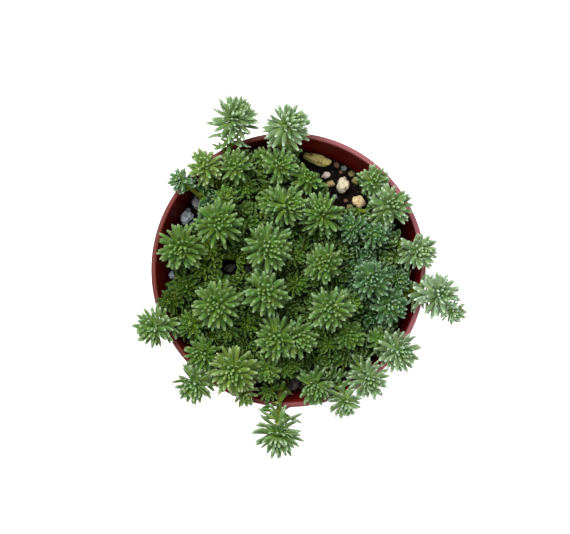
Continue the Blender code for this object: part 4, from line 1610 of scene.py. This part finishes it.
    def fork_share(self, tip: np.ndarray, branch_tip: np.ndarray) -> float:
        """How far up the main stem a branch leaves it."""
        apart = hypot(*(branch_tip - tip)[:2])
        share = (branch_tip[2] - self.fork_drop * apart - self.soil.top) / (tip[2] - self.soil.top)
        return min(max(share, self.lowest_fork), self.highest_fork)

    def skeleton(self, shoots: Sequence[Shoot], shade: float) -> Mesh:
        """The points that the tree turns to a stem: joined along each shoot, and loose at each leaf.

        Args:
            shoots: the stem's shoots.
            shade: how much less light it gets than its place says.

        Returns:
            The mesh of points, with the attributes that the tree reads.
        """
        spots, edges, girth, climb = [], [], [], []
        for shoot in shoots:
            foot = [shoot.line[0] - np.array((0.0, 0.0, shoot.below))] if shoot.below else []
            line = foot + list(shoot.line)
            depths = [shoot.length] * len(foot) + [shoot.length - along for along in shoot.along]
            edges += [(len(spots) + step, len(spots) + step + 1) for step in range(len(line) - 1)]
            girth += [shoot.radius_at(depth) * MM for depth in depths]
            climb += [1.0 - min(1.0, depth / self.corky_length) for depth in depths]
            spots += [tuple(point * MM) for point in line]
        leaves = [leaf for shoot in shoots for leaf in shoot.leaves]
        mesh = bpy.data.meshes.new("skeleton")
        mesh.from_pydata(spots + [tuple(leaf.root * MM) for leaf in leaves], edges, [])
        joined, loose = len(spots), len(leaves)
        none, flat = [0.0] * joined, [(0.0, 0.0, 0.0)] * joined
        sizes = [(leaf.length * MM, leaf.width * MM, leaf.length * MM) for leaf in leaves]
        for name, kind, on_stem, on_leaves in (
            ("is_leaf", "BOOLEAN", [False] * joined, [True] * loose),
            ("girth", "FLOAT", girth, [0.0] * loose),
            ("climb", "FLOAT", climb, [0.0] * loose),
            ("turn", "FLOAT_VECTOR", flat, [leaf.turn() for leaf in leaves]),
            ("size", "FLOAT_VECTOR", flat, sizes),
            ("form", "INT", [0] * joined, [leaf.bend.value for leaf in leaves]),
            ("tone", "FLOAT", none, [leaf.tone for leaf in leaves]),
            ("age", "FLOAT", none, [leaf.age for leaf in leaves]),
            ("dry", "FLOAT", none, [leaf.dry for leaf in leaves]),
            ("light", "FLOAT", none, [self.light_on(leaf, shade) for leaf in leaves]),
        ):
            add_attribute(mesh, name, kind, on_stem + on_leaves)
        return mesh

    def light_on(self, leaf: Leaf, shade: float) -> float:
        """How much painted light a leaf's colour takes, from 0 deep in the tangle to 1 high up or outside the
        pot.

        Args:
            leaf: the leaf.
            shade: how much less its stem gets than its place says.

        Returns:
            The share of full light, which is under 0 on a stem that others overhang.
        """
        x, y, z = leaf.root
        above = (z - self.soil.top) / self.sunny_height
        outside = (hypot(x, y) - self.shady_radius) / (self.sunny_radius - self.shady_radius)
        light = self.light_high_up * above + self.light_outside * min(1.0, max(0.0, outside))
        # Painted light: leaves towards +X are painted a little more lit
        light += self.sunny_side * x / self.sunny_radius
        return min(1.0, max(-self.deepest_shade * shade, light - shade))

    def stem_tree(self) -> NodeTree:
        """The Geometry Nodes tree that makes round stems of lines and a leaf at each loose point."""
        sockets = {"Leaf Forms": "Collection", "Stem Sides": "Int", "Leaf Skin": "Material"}
        tree = new_tree("leafy_stem", {**sockets, "Stem Bark": "Material"})
        add = partial(add_node, tree)
        given = add("NodeGroupInput").outputs
        kinds = {"is_leaf": "BOOLEAN", "turn": "FLOAT_VECTOR", "size": "FLOAT_VECTOR", "form": "INT"}
        read = {
            name: add("GeometryNodeInputNamedAttribute", {"Name": name}, data_type=kind)
            for name, kind in {**kinds, "girth": "FLOAT", "is_stem": "BOOLEAN"}.items()
        }
        forms = {"Collection": given["Leaf Forms"], "Separate Children": True}
        leaves = add(
            "GeometryNodeInstanceOnPoints",
            {
                "Points": given["Geometry"],
                "Selection": read["is_leaf"],
                "Instance": add("GeometryNodeCollectionInfo", forms),
                "Pick Instance": True,
                "Instance Index": read["form"],
                "Rotation": add("FunctionNodeEulerToRotation", {"Euler": read["turn"]}),
                "Scale": read["size"],
            },
        )
        ring = {"Resolution": given["Stem Sides"], "Radius": 1.0}
        tubes = add(
            "GeometryNodeCurveToMesh",
            {
                "Curve": add("GeometryNodeMeshToCurve", {"Mesh": given["Geometry"]}),
                "Profile Curve": add("GeometryNodeCurvePrimitiveCircle", ring),
                "Scale": read["girth"],
                "Fill Caps": True,
            },
        )
        mark = {"Geometry": tubes, "Name": "is_stem", "Value": True}
        marked = add("GeometryNodeStoreNamedAttribute", mark, data_type="BOOLEAN", domain="FACE")
        joined = add("GeometryNodeJoinGeometry", {"Geometry": marked})
        feed(joined, {"Geometry": leaves})
        real = add("GeometryNodeRealizeInstances", {"Geometry": joined})
        smooth = add("GeometryNodeSetShadeSmooth", {"Geometry": real})
        skinned = add("GeometryNodeSetMaterial", {"Geometry": smooth, "Material": given["Leaf Skin"]})
        bark = {"Geometry": skinned, "Selection": read["is_stem"], "Material": given["Stem Bark"]}
        add("NodeGroupOutput", {"Geometry": add("GeometryNodeSetMaterial", bark)})
        return tree


@dataclass
class Studio:
    """The pale floor, the soft lights and the camera straight above the pot."""

    pot: Pot
    camera_place: Triple = (-1.5, -7.3, 498.0)
    camera_aim: Triple = (-1.15, 0.82, 78.0)
    lens: float = 81.06
    floor_radius: float = 2.0
    floor_cloud: float = 111.0
    floor_glow: float = 0.75
    sky_light: float = 0.38

    def build(self) -> None:
        """Sets up everything round the object."""
        self.build_camera()
        self.build_floor()
        self.area_light("key", (-130.0, 210.0, 640.0), 340.0, 4.3, "#FFFFFF")
        self.area_light("fill", (260.0, -180.0, 560.0), 420.0, 0.6, "#F2F6FF")
        self.build_sky()
        bpy.context.scene.view_settings.view_transform = "Standard"
        bpy.context.scene.view_settings.look = "None"

    def build_camera(self) -> None:
        """Puts the camera above the rim, with the photograph's top as +Y."""
        place, aim = Vector(self.camera_place) * MM, Vector(self.camera_aim) * MM
        ahead = (aim - place).normalized()
        right = ahead.cross(Vector((0.0, 1.0, 0.0))).normalized()
        data = bpy.data.cameras.new("camera")
        data.sensor_width, data.lens = 36.0, self.lens
        data.clip_start, data.clip_end = 0.01, 10.0
        camera = bpy.data.objects.new("camera", data)
        bpy.context.scene.collection.objects.link(camera)
        turn = Matrix([right, right.cross(ahead), -ahead]).transposed().to_4x4()
        camera.matrix_world = Matrix.Translation(place) @ turn
        bpy.context.scene.camera = camera

    def build_floor(self) -> None:
        """A pale matt floor under the pot, which glows a little so that shadows on it stay pale."""
        made = Finish("pale_floor_board")
        clouds = {"Vector": made.place, "Scale": scale_of(self.floor_cloud), "Detail": 2.0}
        cloud = made.add("TexNoise", clouds)
        ramp = with_stops(made.add("ValToRGB", {"Fac": cloud}), ((0.3, "#F4F4F4"), (0.7, "#F8F8F7")))
        glow = {"Emission Color": (1.0, 1.0, 1.0, 1.0), "Emission Strength": self.floor_glow}
        material = made.done({"Base Color": ramp, "Roughness": 0.9, **glow})
        bm = bmesh.new()
        bmesh.ops.create_circle(bm, cap_ends=True, segments=96, radius=self.floor_radius)
        new_piece("floor", plain_mesh(bm, "floor"), material)

    def build_sky(self) -> None:
        """A sky that lights softly, and is white where it is seen past the floor."""
        world = bpy.data.worlds.new("sky")
        bpy.context.scene.world = world
        world.use_nodes = True
        path = add_node(world.node_tree, "ShaderNodeLightPath").outputs["Is Camera Ray"]
        seen = add_node(world.node_tree, "ShaderNodeMix", {"Factor": path, 2: self.sky_light, 3: 1.0})
        feed(world.node_tree.nodes["Background"], {"Color": (1.0, 1.0, 1.0, 1.0), "Strength": seen})

    def area_light(self, name: str, place: Triple, size: float, power: float, colour: str) -> None:
        """Adds a square light that faces the pot's rim.

        Args:
            name: the light's name.
            place: its place in millimetres.
            size: its side in millimetres.
            power: its power in watts.
            colour: its hex colour.
        """
        data = bpy.data.lights.new(name, "AREA")
        data.size, data.energy, data.color = size * MM, power, linear(colour)[:3]
        light = bpy.data.objects.new(name, data)
        bpy.context.scene.collection.objects.link(light)
        light.location = Vector(place) * MM
        aim = Vector((0.0, 0.0, self.pot.height)) * MM - light.location
        light.rotation_mode = "QUATERNION"
        light.rotation_quaternion = aim.to_track_quat("-Z", "Y")


def write_sizes() -> None:
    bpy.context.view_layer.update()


def main() -> None:
    """Builds the studio, the pot, the soil, the stones and the plants."""
    pot = Pot()
    soil = SoilBed(pot)
    Studio(pot).build()
    pot.build()
    soil.build()
    LooseStones(soil).build()
    Plants(pot, soil).build()
    write_sizes()


if __name__ == "__main__":
    logging.basicConfig(level=logging.INFO, format="%(name)s: %(message)s")
    main()
